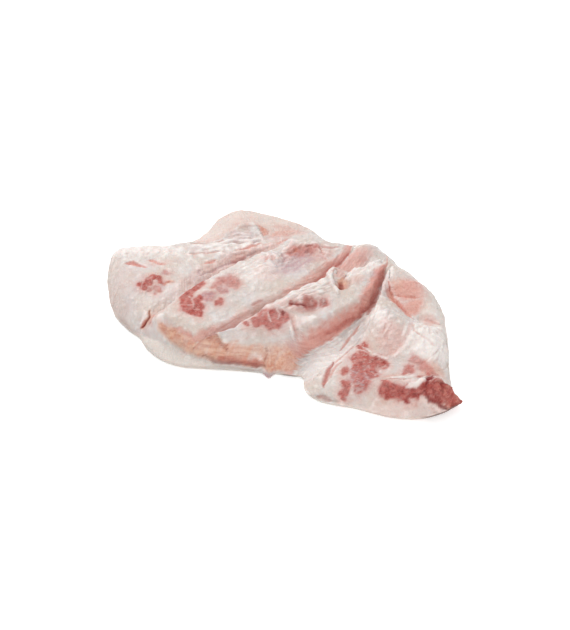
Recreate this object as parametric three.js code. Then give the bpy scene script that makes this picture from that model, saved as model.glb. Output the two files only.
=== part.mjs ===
// A raw pork jowl lying on its rind: one slab of fat and lean with three slanting cuts in its upper face.
// Millimetres, +Z up. x runs along the slab, y from its near side to its far side.
import * as THREE from "three";

// How finely the slab is divided: cells across each of the four panels, and cells along the cuts
const PANEL_CELLS = [24, 20, 24, 24];
const CELLS_ALONG = 48;
const WALL_ROWS = 3;

// Cells next to a cut or to the outline are this share of an even cell, so that lips and rims stay crisp
const EDGE_CELL_SHARE = 0.4;

// The lip of a cut: how far its edge is rounded down, and over what width.
// A cut this deep has the full rounding, and one that runs out has none.
const LIP_ROUND = 2;
const LIP_WIDTH = 4;
const FULL_CUT = 10;
// Share of each bank's width that is the flat floor of its cut. The last panel ends in no cut.
const FLOOR_SHARES = [0.1, 0.15, 0.62, 0];
// A bank takes up this share of its panel at the most
const WIDEST_BANK_SHARE = 0.85;

// Height of the top at the two ends, before the rim rounds it down
const LEFT_TOP = 24;
const RIGHT_TOP = 23;
// How much each panel swells between its two cuts
const PANEL_CROWN = [1, 2, 2, 1];

// The rim: the rise of the ledge, how round the shoulder is, the share of the shoulder that is
// its soft foot, and how far along the edge all this is evened out
const LEDGE_SLOPE = 0.12;
const SHOULDER_POWER = 2.2;
const SHOULDER_FOOT = 0.15;
const EDGE_BLEND = 3;

// A lip stands this share of its panel's width to the right of the foot of its cut
const LIP_OFFSET = 0.012;
// The underside shrinks from the rim to the lower edge, and from there to the flat that the slab rests on
const LOWER_EDGE_SCALE = 0.98;
const FLAT_SCALE = 0.91;

// The outline, anticlockwise from the left end.
// Each row: x, y, height of the rim, width of the skin ledge, width of the shoulder, lift of the lower edge
const OUTLINE = [
  [-134, 16, 5, 0, 13, 1],
  [-122, -2, 4, 0, 13, 0],
  [-112, -12, 3, 2, 11, 0],
  [-105, -25, 3, 12, 11, 0],
  [-94, -37, 3, 16, 13, 0],
  [-80, -44, 3, 12, 13, 0],
  [-66, -46, 3, 7, 13, 0],
  [-42, -48, 3, 3, 13, 0],
  [-17, -51, 3, 1, 14, 0],
  [3, -54, 3, 0, 18, 0],
  [13, -57, 3, 0, 18, 0],
  [15, -70, 3, 0, 14, 0],
  [25, -82, 3, 0, 16, 0],
  [50, -89, 3, 0, 20, 0],
  [75, -98, 3, 0, 20, 0],
  [97, -101, 5, 0, 18, 1],
  [113, -97, 7, 0, 16, 3],
  [122, -91, 7, 0, 15, 3.5],
  [128, -86, 6, 0, 13, 4],
  [122, -77, 7, 0, 16, 2],
  [121, -58, 12, 0, 15, 0],
  [122, -36, 15, 0, 12, 0],
  [122, -14, 16, 0, 12, 0],
  [120, 7, 17, 0, 12, 0],
  [114, 25, 18, 0, 12, 0],
  [103, 41, 19, 0, 12, 0],
  [92, 54, 20, 0, 11, 0],
  [83, 67, 21, 0, 10, 0],
  [72, 79, 22, 0, 10, 0],
  [57, 81, 21, 0, 10, 0],
  [40, 87, 18, 2, 9, 0],
  [27, 98, 19, 4, 9, 0],
  [13, 111, 21, 10, 9, 0],
  [-13, 118, 25, 18, 10, 0],
  [-36, 120, 29, 22, 10, 1],
  [-54, 115, 24, 16, 10, 1],
  [-66, 99, 19, 7, 9, 0],
  [-80, 89, 18, 1, 9, 0],
  [-104, 81, 20, 0, 10, 0],
  [-130, 79, 20, 0, 9, 0],
  [-140, 72, 18, 0, 10, 1],
  [-142, 54, 12, 0, 12, 1],
  [-140, 36, 8, 0, 13, 1],
];

// Rows of the outline where the panels' edges meet it, from the left end to the right
const NEAR_MARKS = [0, 2, 5, 11, 18];
const FAR_MARKS = [40, 32, 29, 27, 23];

// The cuts, along their lips from the near side to the far side. Both end rows are on the outline.
// Each row: x, y, height of the lip, height of the floor, height of the bank at the left, width of that bank
const CUT_ONE = [
  [-112, -12, 10, 10, 10, 8],
  [-99, -5, 20, 16, 18, 10],
  [-76, 15, 28, 20, 24, 14],
  [-52, 34, 31, 21, 26, 22],
  [-28, 54, 31, 22, 26, 22],
  [-8, 68, 29, 24, 26, 18],
  [4, 84, 26, 25, 25, 12],
  [13, 111, 24, 24, 24, 10],
];
const CUT_TWO = [
  [-80, -44, 17, 17, 17, 8],
  [-70, -34, 20, 20, 20, 9],
  [-58, -32, 24, 20, 23, 12],
  [-46, -31, 26, 19, 25, 15],
  [-34, -25, 28, 18, 25, 15],
  [-11, -6, 32, 21, 28, 16],
  [14, 9, 34, 23, 29, 18],
  [32, 27, 33, 24, 29, 18],
  [38, 36, 33, 24, 29, 17],
  [43, 45, 29, 24, 28, 14],
  [53, 62, 28, 25, 27, 9],
  [57, 81, 25, 25, 25, 8],
];
const CUT_THREE = [
  [15, -70, 6, 6, 16, 30],
  [25, -58, 9, 8, 22, 36],
  [40, -46, 12, 10, 28, 37],
  [55, -34, 19, 14, 31, 33],
  [66, -12, 27, 20, 32, 18],
  [75, 11, 28, 23, 31, 11],
  [82, 36, 28, 26, 30, 8],
  [84, 48, 28, 28, 28, 6],
  [83, 67, 25, 25, 25, 6],
];

// Swellings and hollows of the top. Each row: x, y, half-length, half-width, turn in degrees, height
const SWELLS = [
  [-112, 66, 30, 8, 0, 4],
  [-114, 30, 16, 12, 30, 2],
  [-58, 6, 24, 14, 35, 2],
  [-94, -12, 4, 3.5, 0, 3],
  [-20, 34, 22, 10, 40, 2],
  [2, 46, 18, 9, 40, -4],
  [14, 68, 14, 6, 25, 3],
  [-30, -28, 22, 9, 30, 2],
  [10, 0, 24, 8, 38, 4],
  [22, -12, 12, 5, 30, -4],
  [44, 18, 7, 6, 60, -7],
  [37, 37, 5, 3.5, 60, 5],
  [61, 60, 14, 8, 40, 4],
  [76, -24, 26, 13, 112, 6],
  [97, 6, 22, 8, 112, -3],
  [107, -36, 14, 9, 150, 3],
  [50, -58, 14, 12, 40, 4],
  [94, -84, 34, 7, 168, 5],
  [84, -66, 22, 8, 160, -2],
];

// Creases of the top. Each has a path, a depth, and the widths of its left and right banks
const CREASES = [
  { path: [[83, 28], [82, 11], [89, -1], [96, -14]], depth: 7, left: 12, right: 4 },
  { path: [[96, -14], [106, -19], [119, -21]], depth: 6, left: 9, right: 4 },
  { path: [[43, 18], [46, 30], [52, 39], [62, 46], [76, 51]], depth: 6, left: 9, right: 5 },
  { path: [[-78, 85], [-58, 85], [-36, 83], [-18, 85], [4, 91]], depth: 3, left: 8, right: 6 },
];
// A crease runs out over this share of its length at both ends, to this share of its depth
const CREASE_END_SHARE = 0.25;
const CREASE_END_DEPTH = 0.3;

// How many short lines stand for one span of a curve, and for the whole outline
const SPAN_SAMPLES = 16;
const OUTLINE_STEPS = 600;

const clamp01 = (t) => Math.min(Math.max(t, 0), 1);
const smooth = (t) => clamp01(t) ** 2 * (3 - 2 * clamp01(t));
const mix = (a, b, t) => a + (b - a) * t;
const mixRows = (a, b, t) => a.map((value, i) => mix(value, b[i], t));
const planGap = (a, b) => Math.hypot(b[0] - a[0], b[1] - a[1]);

// One span of a Catmull-Rom curve through rows of numbers.
function spanPoint(before, from, to, after, t) {
  return from.map((p, i) => {
    const leave = (to[i] - before[i]) / 2;
    const arrive = (after[i] - p) / 2;
    const bend = 3 * (to[i] - p) - 2 * leave - arrive;
    const twist = 2 * (p - to[i]) + leave + arrive;
    return p + t * (leave + t * (bend + t * twist));
  });
}

// A curve through rows first to last of a list, run backwards where last comes before first.
// It takes 0 to 1, even along its length in plan. A closed list carries on round its ends.
function stretch(rows, first, last, closed) {
  const step = first < last ? 1 : -1;
  const spans = Math.abs(last - first);
  const row = (i) => {
    const at = first + step * i;
    if (closed) return rows[(at + rows.length) % rows.length];
    return rows[Math.min(Math.max(at, 0), rows.length - 1)];
  };
  const point = (t) => {
    const i = Math.min(Math.floor(t * spans), spans - 1);
    return spanPoint(row(i - 1), row(i), row(i + 1), row(i + 2), t * spans - i);
  };
  const samples = SPAN_SAMPLES * spans;
  const lengths = [0];
  for (let i = 1; i <= samples; i++) {
    lengths.push(lengths[i - 1] + planGap(point((i - 1) / samples), point(i / samples)));
  }
  return (share) => {
    const wanted = clamp01(share) * lengths[samples];
    const i = Math.max(1, lengths.findIndex((length) => length >= wanted));
    const part = (wanted - lengths[i - 1]) / (lengths[i] - lengths[i - 1]);
    return point((i - 1 + part) / samples);
  };
}

const whole = (rows) => stretch(rows, 0, rows.length - 1, false);
const nearEdges = PANEL_CELLS.map((_, k) => stretch(OUTLINE, NEAR_MARKS[k], NEAR_MARKS[k + 1], true));
const farEdges = PANEL_CELLS.map((_, k) => stretch(OUTLINE, FAR_MARKS[k], FAR_MARKS[k + 1], true));
const leftEnd = stretch(OUTLINE, NEAR_MARKS[0] + OUTLINE.length, FAR_MARKS[0], true);
const rightEnd = stretch(OUTLINE, NEAR_MARKS[4], FAR_MARKS[4], true);

// The lines that part the panels: the left end, the three cuts and the right end
const endRail = (edge, top) => (v) => [...edge(v).slice(0, 2), top, top, top, 0];
const rails = [
  endRail(leftEnd, LEFT_TOP),
  whole(CUT_ONE),
  whole(CUT_TWO),
  whole(CUT_THREE),
  endRail(rightEnd, RIGHT_TOP),
];

// Shares from 0 to 1, closer together at both ends.
const eased = (even) => mix(smooth(even), even, EDGE_CELL_SHARE);

const rowShare = (row) => eased(row / CELLS_ALONG);

// Columns of a panel run from its lip to the foot of the next cut.
function columnShare(panel, column) {
  return mix(panel === 0 ? 0 : LIP_OFFSET, 1, eased(column / PANEL_CELLS[panel]));
}

// A panel's plan: between its two rails, bowed out to meet the outline at both sides.
function planPoint(panel, across, along) {
  const [left, right] = [rails[panel], rails[panel + 1]];
  const bow = (edge, end) => {
    const chord = mixRows(left(end), right(end), across);
    return edge(across).slice(0, 2).map((value, i) => value - chord[i]);
  };
  const near = bow(nearEdges[panel], 0);
  const far = bow(farEdges[panel], 1);
  const middle = mixRows(left(along), right(along), across);
  return [0, 1].map((i) => middle[i] + mix(near[i], far[i], along));
}

// A panel's height: from its lip to the bank of the next cut, then down that bank to the floor.
function panelHeight(panel, across, along) {
  const from = rails[panel](along);
  const to = rails[panel + 1](along);
  const width = planGap(from, to);
  const [lip, floor, bank] = [from[2], to[3], to[4]];
  const bankShare = Math.min(to[5] / width, WIDEST_BANK_SHARE);
  const flat = across / (1 - bankShare);
  if (flat > 1) {
    const climb = (1 - across) / bankShare;
    const floorShare = FLOOR_SHARES[panel];
    return mix(floor, bank, smooth((climb - floorShare) / (1 - floorShare)));
  }
  const crown = PANEL_CROWN[panel] * 4 * flat * (1 - flat);
  const rounding = LIP_ROUND * clamp01((lip - from[3]) / FULL_CUT);
  const edgeDrop = rounding * (1 - clamp01((across * width) / LIP_WIDTH)) ** 2;
  return mix(lip, bank, smooth(flat)) + crown - edgeDrop;
}

// The height that the swellings and hollows add at a place.
function swellHeight(x, y) {
  let height = 0;
  for (const [cx, cy, long, wide, turn, rise] of SWELLS) {
    const angle = THREE.MathUtils.degToRad(turn);
    const a = (x - cx) * Math.cos(angle) + (y - cy) * Math.sin(angle);
    const b = (y - cy) * Math.cos(angle) - (x - cx) * Math.sin(angle);
    height += rise * Math.exp(-((a / long) ** 2) - (b / wide) ** 2);
  }
  return height;
}

// How far a place lies from a path, positive on its left, and how far along the path, from 0 to 1.
function pathPlace(path, x, y) {
  let best = { gap: Infinity, side: 0, share: 0 };
  for (let i = 0; i + 1 < path.length; i++) {
    const [[ax, ay], [bx, by]] = [path[i], path[i + 1]];
    const [dx, dy] = [bx - ax, by - ay];
    const t = clamp01(((x - ax) * dx + (y - ay) * dy) / (dx * dx + dy * dy));
    const gap = Math.hypot(x - ax - t * dx, y - ay - t * dy);
    const side = Math.sign(dx * (y - ay) - dy * (x - ax));
    if (gap < best.gap) best = { gap, side, share: (i + t) / (path.length - 1) };
  }
  return best;
}

// The depth of the creases at a place. A crease runs out at its two ends.
function creaseDepth(x, y) {
  let sum = 0;
  for (const { path, depth, left, right } of CREASES) {
    const { gap, side, share } = pathPlace(path, x, y);
    const width = side > 0 ? left : right;
    const fade = smooth(share / CREASE_END_SHARE) * smooth((1 - share) / CREASE_END_SHARE);
    sum += depth * mix(CREASE_END_DEPTH, 1, fade) * Math.exp(-((gap / width) ** 2));
  }
  return sum;
}

// The outline as close points, each with its rim, ledge and shoulder.
const outlineCurve = stretch(OUTLINE, 0, OUTLINE.length, true);
const outlinePoints = Array.from({ length: OUTLINE_STEPS }, (_, i) => outlineCurve(i / OUTLINE_STEPS));

// The gap from a place to the outline, with the rim, ledge, shoulder and lift there.
// Those four are averaged over the outline near by, so that they change gently round its corners.
function edgeAt(x, y) {
  const gaps = outlinePoints.map((point) => Math.hypot(point[0] - x, point[1] - y));
  const least = Math.min(...gaps);
  const nearest = gaps.indexOf(least);
  const around = [-1, 0, 1].map((step) => outlinePoints[(nearest + step + OUTLINE_STEPS) % OUTLINE_STEPS]);
  const { gap } = pathPlace(around, x, y);
  const sums = [0, 0, 0, 0];
  let total = 0;
  gaps.forEach((each, i) => {
    const weight = Math.exp((least - each) / EDGE_BLEND);
    total += weight;
    for (let k = 0; k < 4; k++) sums[k] += weight * outlinePoints[i][k + 2];
  });
  const [rim, ledge, shoulder, lift] = sums.map((sum) => sum / total);
  return { gap, rim, ledge, shoulder, lift: Math.max(lift, 0) };
}

// Near the outline the top comes down over a round shoulder to the ledge, which ends at the rim.
function rimmedHeight(x, y, height) {
  const { gap, rim, ledge, shoulder } = edgeAt(x, y);
  const up = clamp01((gap - ledge) / shoulder);
  const climb = (up * up * (1 + SHOULDER_FOOT)) / (up + SHOULDER_FOOT);
  const round = 1 - (1 - climb) ** SHOULDER_POWER;
  return mix(rim + LEDGE_SLOPE * Math.min(gap, ledge), height, round);
}

// Where each column of the grid lies: its panel, and its share of the way across that panel.
const columns = PANEL_CELLS.flatMap((cells, panel) =>
  Array.from({ length: cells + 1 }, (_, column) => ({ panel, across: columnShare(panel, column) })),
);

// A point of the top.
function topPoint({ panel, across }, along) {
  const [x, y] = planPoint(panel, across, along);
  const height = panelHeight(panel, across, along) + swellHeight(x, y) - creaseDepth(x, y);
  return [x, y, rimmedHeight(x, y, height)];
}

// A plan point drawn in towards the middle of the slab.
function drawnIn({ panel, across }, along, scale) {
  const middle = PANEL_CELLS.length / 2;
  const place = mix(middle, panel + across, scale);
  const inPanel = Math.min(Math.floor(place), PANEL_CELLS.length - 1);
  return planPoint(inPanel, place - inPanel, mix(0.5, along, scale));
}

// The columns and rows round the edge of the grid, anticlockwise from its near left corner.
function edgePlaces() {
  const lastColumn = columns.length - 1;
  const places = [];
  for (let c = 0; c < lastColumn; c++) places.push([c, 0]);
  for (let r = 0; r < CELLS_ALONG; r++) places.push([lastColumn, r]);
  for (let c = lastColumn; c > 0; c--) places.push([c, CELLS_ALONG]);
  for (let r = CELLS_ALONG; r > 0; r--) places.push([0, r]);
  return places;
}

// The closed skin of the slab: the top, the wall round it, and the underside with its flat.
function slabGeometry() {
  const points = [];
  const faces = [];
  // A cell is split along its more level diagonal, so that steep walls stay even
  const drop = (i, j) => Math.abs(points[i][2] - points[j][2]);
  const quad = (a, b, c, d) => {
    if (drop(a, c) <= drop(b, d)) faces.push(a, b, c, a, c, d);
    else faces.push(a, b, d, b, c, d);
  };
  const rows = CELLS_ALONG + 1;

  columns.forEach((column) => {
    for (let r = 0; r < rows; r++) points.push(topPoint(column, rowShare(r)));
  });
  for (let c = 0; c + 1 < columns.length; c++) {
    for (let r = 0; r < CELLS_ALONG; r++) {
      const at = c * rows + r;
      quad(at, at + rows, at + rows + 1, at + 1);
    }
  }

  const places = edgePlaces();
  let upper = places.map(([c, r]) => c * rows + r);
  const addRing = (ring) => {
    const lower = ring.map((point) => points.push(point) - 1);
    lower.forEach((_, i) => {
      const next = (i + 1) % lower.length;
      quad(upper[i], lower[i], lower[next], upper[next]);
    });
    upper = lower;
  };
  const rims = upper.map((i) => points[i]);
  const lifts = rims.map(([x, y]) => edgeAt(x, y).lift);
  const lowerEdge = places.map(([c, r]) => drawnIn(columns[c], rowShare(r), LOWER_EDGE_SCALE));
  for (let row = 1; row <= WALL_ROWS; row++) {
    const down = row / WALL_ROWS;
    const ring = rims.map((rim, i) => {
      const [x, y] = mixRows(lowerEdge[i], rim, 1 - down ** 2);
      return [x, y, mix(rim[2], lifts[i], down)];
    });
    addRing(ring);
  }
  const flat = places.map(([c, r]) => drawnIn(columns[c], rowShare(r), FLAT_SCALE));
  addRing(flat.map(([x, y]) => [x, y, 0]));
  const contour = flat.map(([x, y]) => new THREE.Vector2(x, y));
  for (const [a, b, c] of THREE.ShapeUtils.triangulateShape(contour, [])) {
    faces.push(upper[a], upper[c], upper[b]);
  }

  const geometry = new THREE.BufferGeometry();
  geometry.setAttribute("position", new THREE.Float32BufferAttribute(points.flat(), 3));
  geometry.setIndex(faces);
  geometry.computeBoundingBox();
  const middle = geometry.boundingBox.getCenter(new THREE.Vector3());
  geometry.translate(-middle.x, -middle.y, 0);
  geometry.computeVertexNormals();
  return geometry;
}

const meat = new THREE.MeshStandardMaterial({ name: "raw_pork", color: 0xe2cdc2, roughness: 0.55 });
const jowl = new THREE.Mesh(slabGeometry(), meat);
jowl.name = "jowl";

const part = new THREE.Group();
part.name = "pork_jowl";
part.add(jowl);

export default part;
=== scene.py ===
# %% [markdown]
# # A raw pork jowl
# This lesson dresses one solid, a slab of raw pork jowl, so that it looks like fresh meat. The imported model
# comes first, because everything else is placed in its frame: metres, +X along the slab, +Y away from the
# camera, +Z up. Its box sets the middle of the dressed slab.

import math

import bpy
import numpy as np
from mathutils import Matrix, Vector, noise


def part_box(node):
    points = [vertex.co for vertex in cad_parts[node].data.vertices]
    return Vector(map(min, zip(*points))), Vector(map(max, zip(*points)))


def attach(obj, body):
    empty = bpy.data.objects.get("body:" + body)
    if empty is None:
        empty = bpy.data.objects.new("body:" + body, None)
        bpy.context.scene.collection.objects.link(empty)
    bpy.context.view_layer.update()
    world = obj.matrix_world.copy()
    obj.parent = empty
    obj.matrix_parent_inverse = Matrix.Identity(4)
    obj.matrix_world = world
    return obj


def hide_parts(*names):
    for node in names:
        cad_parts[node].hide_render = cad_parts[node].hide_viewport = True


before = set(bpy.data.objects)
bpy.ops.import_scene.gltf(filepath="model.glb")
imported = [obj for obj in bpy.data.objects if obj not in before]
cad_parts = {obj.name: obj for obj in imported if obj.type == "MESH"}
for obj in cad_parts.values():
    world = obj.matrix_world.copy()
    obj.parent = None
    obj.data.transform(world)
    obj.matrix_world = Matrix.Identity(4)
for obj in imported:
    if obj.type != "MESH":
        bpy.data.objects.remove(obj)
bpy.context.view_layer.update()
MM = 0.001
scene = bpy.context.scene

# %% [markdown]
# ## The camera
# The photograph looks down on the jowl from about 40 degrees, from the side that is called near here. A long
# lens a metre away gives its mild perspective. Aiming a camera is easiest with a direction: the camera's own
# axis looks along -Z, so a tracking quaternion turns that axis towards the target.

# %% Place the camera
CAMERA_ELEVATION = math.radians(40)
CAMERA_DISTANCE = 1.0
CAMERA_TARGET = Vector((7.0, -9.2, 15.0)) * MM
SENSOR_WIDTH = 36.0
PHOTO_FOCAL_PIXELS = 1300
PHOTO_LONG_SIDE = 630

camera_data = bpy.data.cameras.new("camera")
camera_data.sensor_width = SENSOR_WIDTH
camera_data.lens = SENSOR_WIDTH * PHOTO_FOCAL_PIXELS / PHOTO_LONG_SIDE
camera = bpy.data.objects.new("camera", camera_data)
look = Vector((0, math.cos(CAMERA_ELEVATION), -math.sin(CAMERA_ELEVATION)))
camera.location = CAMERA_TARGET - CAMERA_DISTANCE * look
camera.rotation_euler = look.to_track_quat("-Z", "Y").to_euler()
scene.collection.objects.link(camera)
scene.camera = camera
print("lens", round(camera_data.lens, 2), "mm")

# %% [markdown]
# ## Floor and light
# The jowl was photographed high-key: a white sweep, a bright sky of soft boxes and hardly any shadow. A white
# world gives the even light. One large lamp behind and to the left adds the soft direction that brings out
# the cuts, and a weak one from the front right keeps the near wall from going grey. The Standard view
# transform keeps the pale colours as they are mixed.

# %% Make the floor, the sky and the lamps
FLOOR_HALF = 3.0
# The paper has a little light of its own, as a lit table has, which keeps shadows faint
PAPER = {"Base Color": (0.85, 0.85, 0.845, 1), "Roughness": 0.9, "Specular IOR Level": 0.1,
         "Emission Color": (1, 1, 1, 1), "Emission Strength": 0.42}
SKY = {"Color": (1, 1, 1, 1), "Strength": 0.64}
# Each lamp: name, place, side of the square, power in watts
LAMPS = [
    ("key_softbox", (-0.75, 0.85, 1.3), 0.8, 18.0),
    ("fill_softbox", (0.7, -1.1, 1.0), 1.2, 8.0),
]


def set_inputs(node, values):
    """Sets plain values on a node's inputs, by their names."""
    for name, value in values.items():
        node.inputs[name].default_value = value


floor_mesh = bpy.data.meshes.new("floor")
corners = [(-1, -1), (1, -1), (1, 1), (-1, 1)]
floor_mesh.from_pydata([(x * FLOOR_HALF, y * FLOOR_HALF, 0) for x, y in corners], [], [(0, 1, 2, 3)])
floor = bpy.data.objects.new("floor", floor_mesh)
scene.collection.objects.link(floor)
paper = bpy.data.materials.new("white_paper")
paper.use_nodes = True
set_inputs(paper.node_tree.nodes["Principled BSDF"], PAPER)
floor_mesh.materials.append(paper)

sky = bpy.data.worlds.new("white_sky")
sky.use_nodes = True
set_inputs(sky.node_tree.nodes["Background"], SKY)
scene.world = sky
scene.view_settings.view_transform = "Standard"

for name, place, side, power in LAMPS:
    lamp_data = bpy.data.lights.new(name, "AREA")
    lamp_data.size = side
    lamp_data.energy = power
    lamp = bpy.data.objects.new(name, lamp_data)
    lamp.location = place
    lamp.rotation_euler = (CAMERA_TARGET - lamp.location).to_track_quat("-Z", "Y").to_euler()
    scene.collection.objects.link(lamp)
print("floor, sky and", len(LAMPS), "lamps")

# %% [markdown]
# ## The form of the slab
# The real jowl is a slab of fat that a knife has opened with three slanting cuts, so it is four panels side
# by side. Copying the solid's mesh and subdividing it would blur the lips of the cuts. The form is worked out
# again instead, from the same named sizes as the solid, on a grid that is fine enough for the relief of the
# meat. It also tells every point which panel it is on and how far it is from a lip, which the colours need.
# Lengths in this part are millimetres, in a plan whose origin is near the middle of the slab.

# %% Outline of the slab
# The outline, anticlockwise from the left end.
# Each row: x, y, height of the rim, width of the skin ledge, width of the shoulder, lift of the lower edge
OUTLINE = np.array([
    [-134, 16, 5, 0, 13, 1],
    [-122, -2, 4, 0, 13, 0],
    [-112, -12, 3, 2, 11, 0],
    [-105, -25, 3, 12, 11, 0],
    [-94, -37, 3, 16, 13, 0],
    [-80, -44, 3, 12, 13, 0],
    [-66, -46, 3, 7, 13, 0],
    [-42, -48, 3, 3, 13, 0],
    [-17, -51, 3, 1, 14, 0],
    [3, -54, 3, 0, 18, 0],
    [13, -57, 3, 0, 18, 0],
    [15, -70, 3, 0, 14, 0],
    [25, -82, 3, 0, 16, 0],
    [50, -89, 3, 0, 20, 0],
    [75, -98, 3, 0, 20, 0],
    [97, -101, 5, 0, 18, 1],
    [113, -97, 7, 0, 16, 3],
    [122, -91, 7, 0, 15, 3.5],
    [128, -86, 6, 0, 13, 4],
    [122, -77, 7, 0, 16, 2],
    [121, -58, 12, 0, 15, 0],
    [122, -36, 15, 0, 12, 0],
    [122, -14, 16, 0, 12, 0],
    [120, 7, 17, 0, 12, 0],
    [114, 25, 18, 0, 12, 0],
    [103, 41, 19, 0, 12, 0],
    [92, 54, 20, 0, 11, 0],
    [83, 67, 21, 0, 10, 0],
    [72, 79, 22, 0, 10, 0],
    [57, 81, 21, 0, 10, 0],
    [40, 87, 18, 2, 9, 0],
    [27, 98, 19, 4, 9, 0],
    [13, 111, 21, 10, 9, 0],
    [-13, 118, 25, 18, 10, 0],
    [-36, 120, 29, 22, 10, 1],
    [-54, 115, 24, 16, 10, 1],
    [-66, 99, 19, 7, 9, 0],
    [-80, 89, 18, 1, 9, 0],
    [-104, 81, 20, 0, 10, 0],
    [-130, 79, 20, 0, 9, 0],
    [-140, 72, 18, 0, 10, 1],
    [-142, 54, 12, 0, 12, 1],
    [-140, 36, 8, 0, 13, 1],
], float)
# Rows of the outline where the panels' edges meet it, from the left end to the right
NEAR_MARKS = [0, 2, 5, 11, 18]
FAR_MARKS = [40, 32, 29, 27, 23]
print("outline of", len(OUTLINE), "rows")

# %% Cuts of the slab
# The cuts, from the near side to the far side, along their lips.
# Each row: x, y, height of the lip, height of the floor, height of the bank at the left, width of that bank
CUT_ONE = [
    [-112, -12, 10, 10, 10, 8],
    [-99, -5, 20, 16, 18, 10],
    [-76, 15, 28, 20, 24, 14],
    [-52, 34, 31, 21, 26, 22],
    [-28, 54, 31, 22, 26, 22],
    [-8, 68, 29, 24, 26, 18],
    [4, 84, 26, 25, 25, 12],
    [13, 111, 24, 24, 24, 10],
]
CUT_TWO = [
    [-80, -44, 17, 17, 17, 8],
    [-70, -34, 20, 20, 20, 9],
    [-58, -32, 24, 20, 23, 12],
    [-46, -31, 26, 19, 25, 15],
    [-34, -25, 28, 18, 25, 15],
    [-11, -6, 32, 21, 28, 16],
    [14, 9, 34, 23, 29, 18],
    [32, 27, 33, 24, 29, 18],
    [38, 36, 33, 24, 29, 17],
    [43, 45, 29, 24, 28, 14],
    [53, 62, 28, 25, 27, 9],
    [57, 81, 25, 25, 25, 8],
]
CUT_THREE = [
    [15, -70, 6, 6, 16, 30],
    [25, -58, 9, 8, 22, 36],
    [40, -46, 12, 10, 28, 37],
    [55, -34, 19, 14, 31, 33],
    [66, -12, 27, 20, 32, 18],
    [75, 11, 28, 23, 31, 11],
    [82, 36, 28, 26, 30, 8],
    [84, 48, 28, 28, 28, 6],
    [83, 67, 25, 25, 25, 6],
]
print("cuts of", [len(cut) for cut in (CUT_ONE, CUT_TWO, CUT_THREE)], "rows")

# %% Sizes of the panels, lips and edges
# Share of each bank's width that is the flat floor of its cut, and the swell of each panel between its cuts
FLOOR_SHARES = [0.1, 0.15, 0.62, 0.0]
PANEL_CROWN = [1, 2, 2, 1]
LEFT_TOP = 24
RIGHT_TOP = 23
LIP_ROUND = 2
LIP_WIDTH = 4
# A cut this deep has the full rounding, and one that runs out has none
FULL_CUT = 10
LIP_OFFSET = 0.012
NARROWEST_BANK_SHARE = 1e-6
WIDEST_BANK_SHARE = 0.85
LEDGE_SLOPE = 0.12
SHOULDER_POWER = 2.2
SHOULDER_FOOT = 0.15
EDGE_BLEND = 3
LOWER_EDGE_SCALE = 0.98
FLAT_SCALE = 0.91
print("panels", LEFT_TOP, "mm high at the left end and", RIGHT_TOP, "mm at the right end")

# %% Swellings and creases of the top
# Each row: x, y, half-length, half-width, turn in degrees, height
SWELLS = [
    [-112, 66, 30, 8, 0, 4],
    [-114, 30, 16, 12, 30, 2],
    [-58, 6, 24, 14, 35, 2],
    [-94, -12, 4, 3.5, 0, 3],
    [-20, 34, 22, 10, 40, 2],
    [2, 46, 18, 9, 40, -4],
    [14, 68, 14, 6, 25, 3],
    [-30, -28, 22, 9, 30, 2],
    [10, 0, 24, 8, 38, 4],
    [22, -12, 12, 5, 30, -4],
    [44, 18, 7, 6, 60, -7],
    [37, 37, 5, 3.5, 60, 5],
    [61, 60, 14, 8, 40, 4],
    [76, -24, 26, 13, 112, 6],
    [97, 6, 22, 8, 112, -3],
    [107, -36, 14, 9, 150, 3],
    [50, -58, 14, 12, 40, 4],
    [94, -84, 34, 7, 168, 5],
    [84, -66, 22, 8, 160, -2],
]
# Each crease: its path, its depth, and the widths of its left and right banks
CREASES = [
    ([[83, 28], [82, 11], [89, -1], [96, -14]], 7, 12, 4),
    ([[96, -14], [106, -19], [119, -21]], 6, 9, 4),
    ([[43, 18], [46, 30], [52, 39], [62, 46], [76, 51]], 6, 9, 5),
    ([[-78, 85], [-58, 85], [-36, 83], [-18, 85], [4, 91]], 3, 8, 6),
]
CREASE_END_DEPTH = 0.3
CREASE_END_SHARE = 0.25


def smooth(t):
    """An even slope from 0 to 1, rounded at both ends."""
    t = np.clip(t, 0, 1)
    return t * t * (3 - 2 * t)


def mix(a, b, t):
    """A value that is a at t = 0 and b at t = 1."""
    return a + (b - a) * t


def ramp(values, start, stop):
    """0 at start and before it, 1 at stop and beyond it, with a rounded slope between them."""
    return smooth((values - start) / (stop - start))


def path_place(path, x, y):
    """How far places lie from a path, which side they are on (left is 1), and how far along it, 0 to 1."""
    path = np.asarray(path, float)
    best, side, share = np.full(x.shape, np.inf), np.zeros(x.shape), np.zeros(x.shape)
    for i, ((ax, ay), (bx, by)) in enumerate(zip(path[:-1], path[1:])):
        dx, dy = bx - ax, by - ay
        t = np.clip(((x - ax) * dx + (y - ay) * dy) / (dx * dx + dy * dy), 0, 1)
        gap = np.hypot(x - ax - t * dx, y - ay - t * dy)
        nearer = gap < best
        best = np.where(nearer, gap, best)
        side = np.where(nearer, np.sign(dx * (y - ay) - dy * (x - ax)), side)
        share = np.where(nearer, (i + t) / (len(path) - 1), share)
    return best, side, share


def oval(x, y, row):
    """A soft oval: 1 at its middle, falling to 0 outside. The row is x, y, half-length, half-width, turn."""
    cx, cy, long, wide, turn = row[:5]
    angle = math.radians(turn)
    a = (x - cx) * math.cos(angle) + (y - cy) * math.sin(angle)
    b = (y - cy) * math.cos(angle) - (x - cx) * math.sin(angle)
    return np.exp(-(a / long) ** 2 - (b / wide) ** 2)


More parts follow.
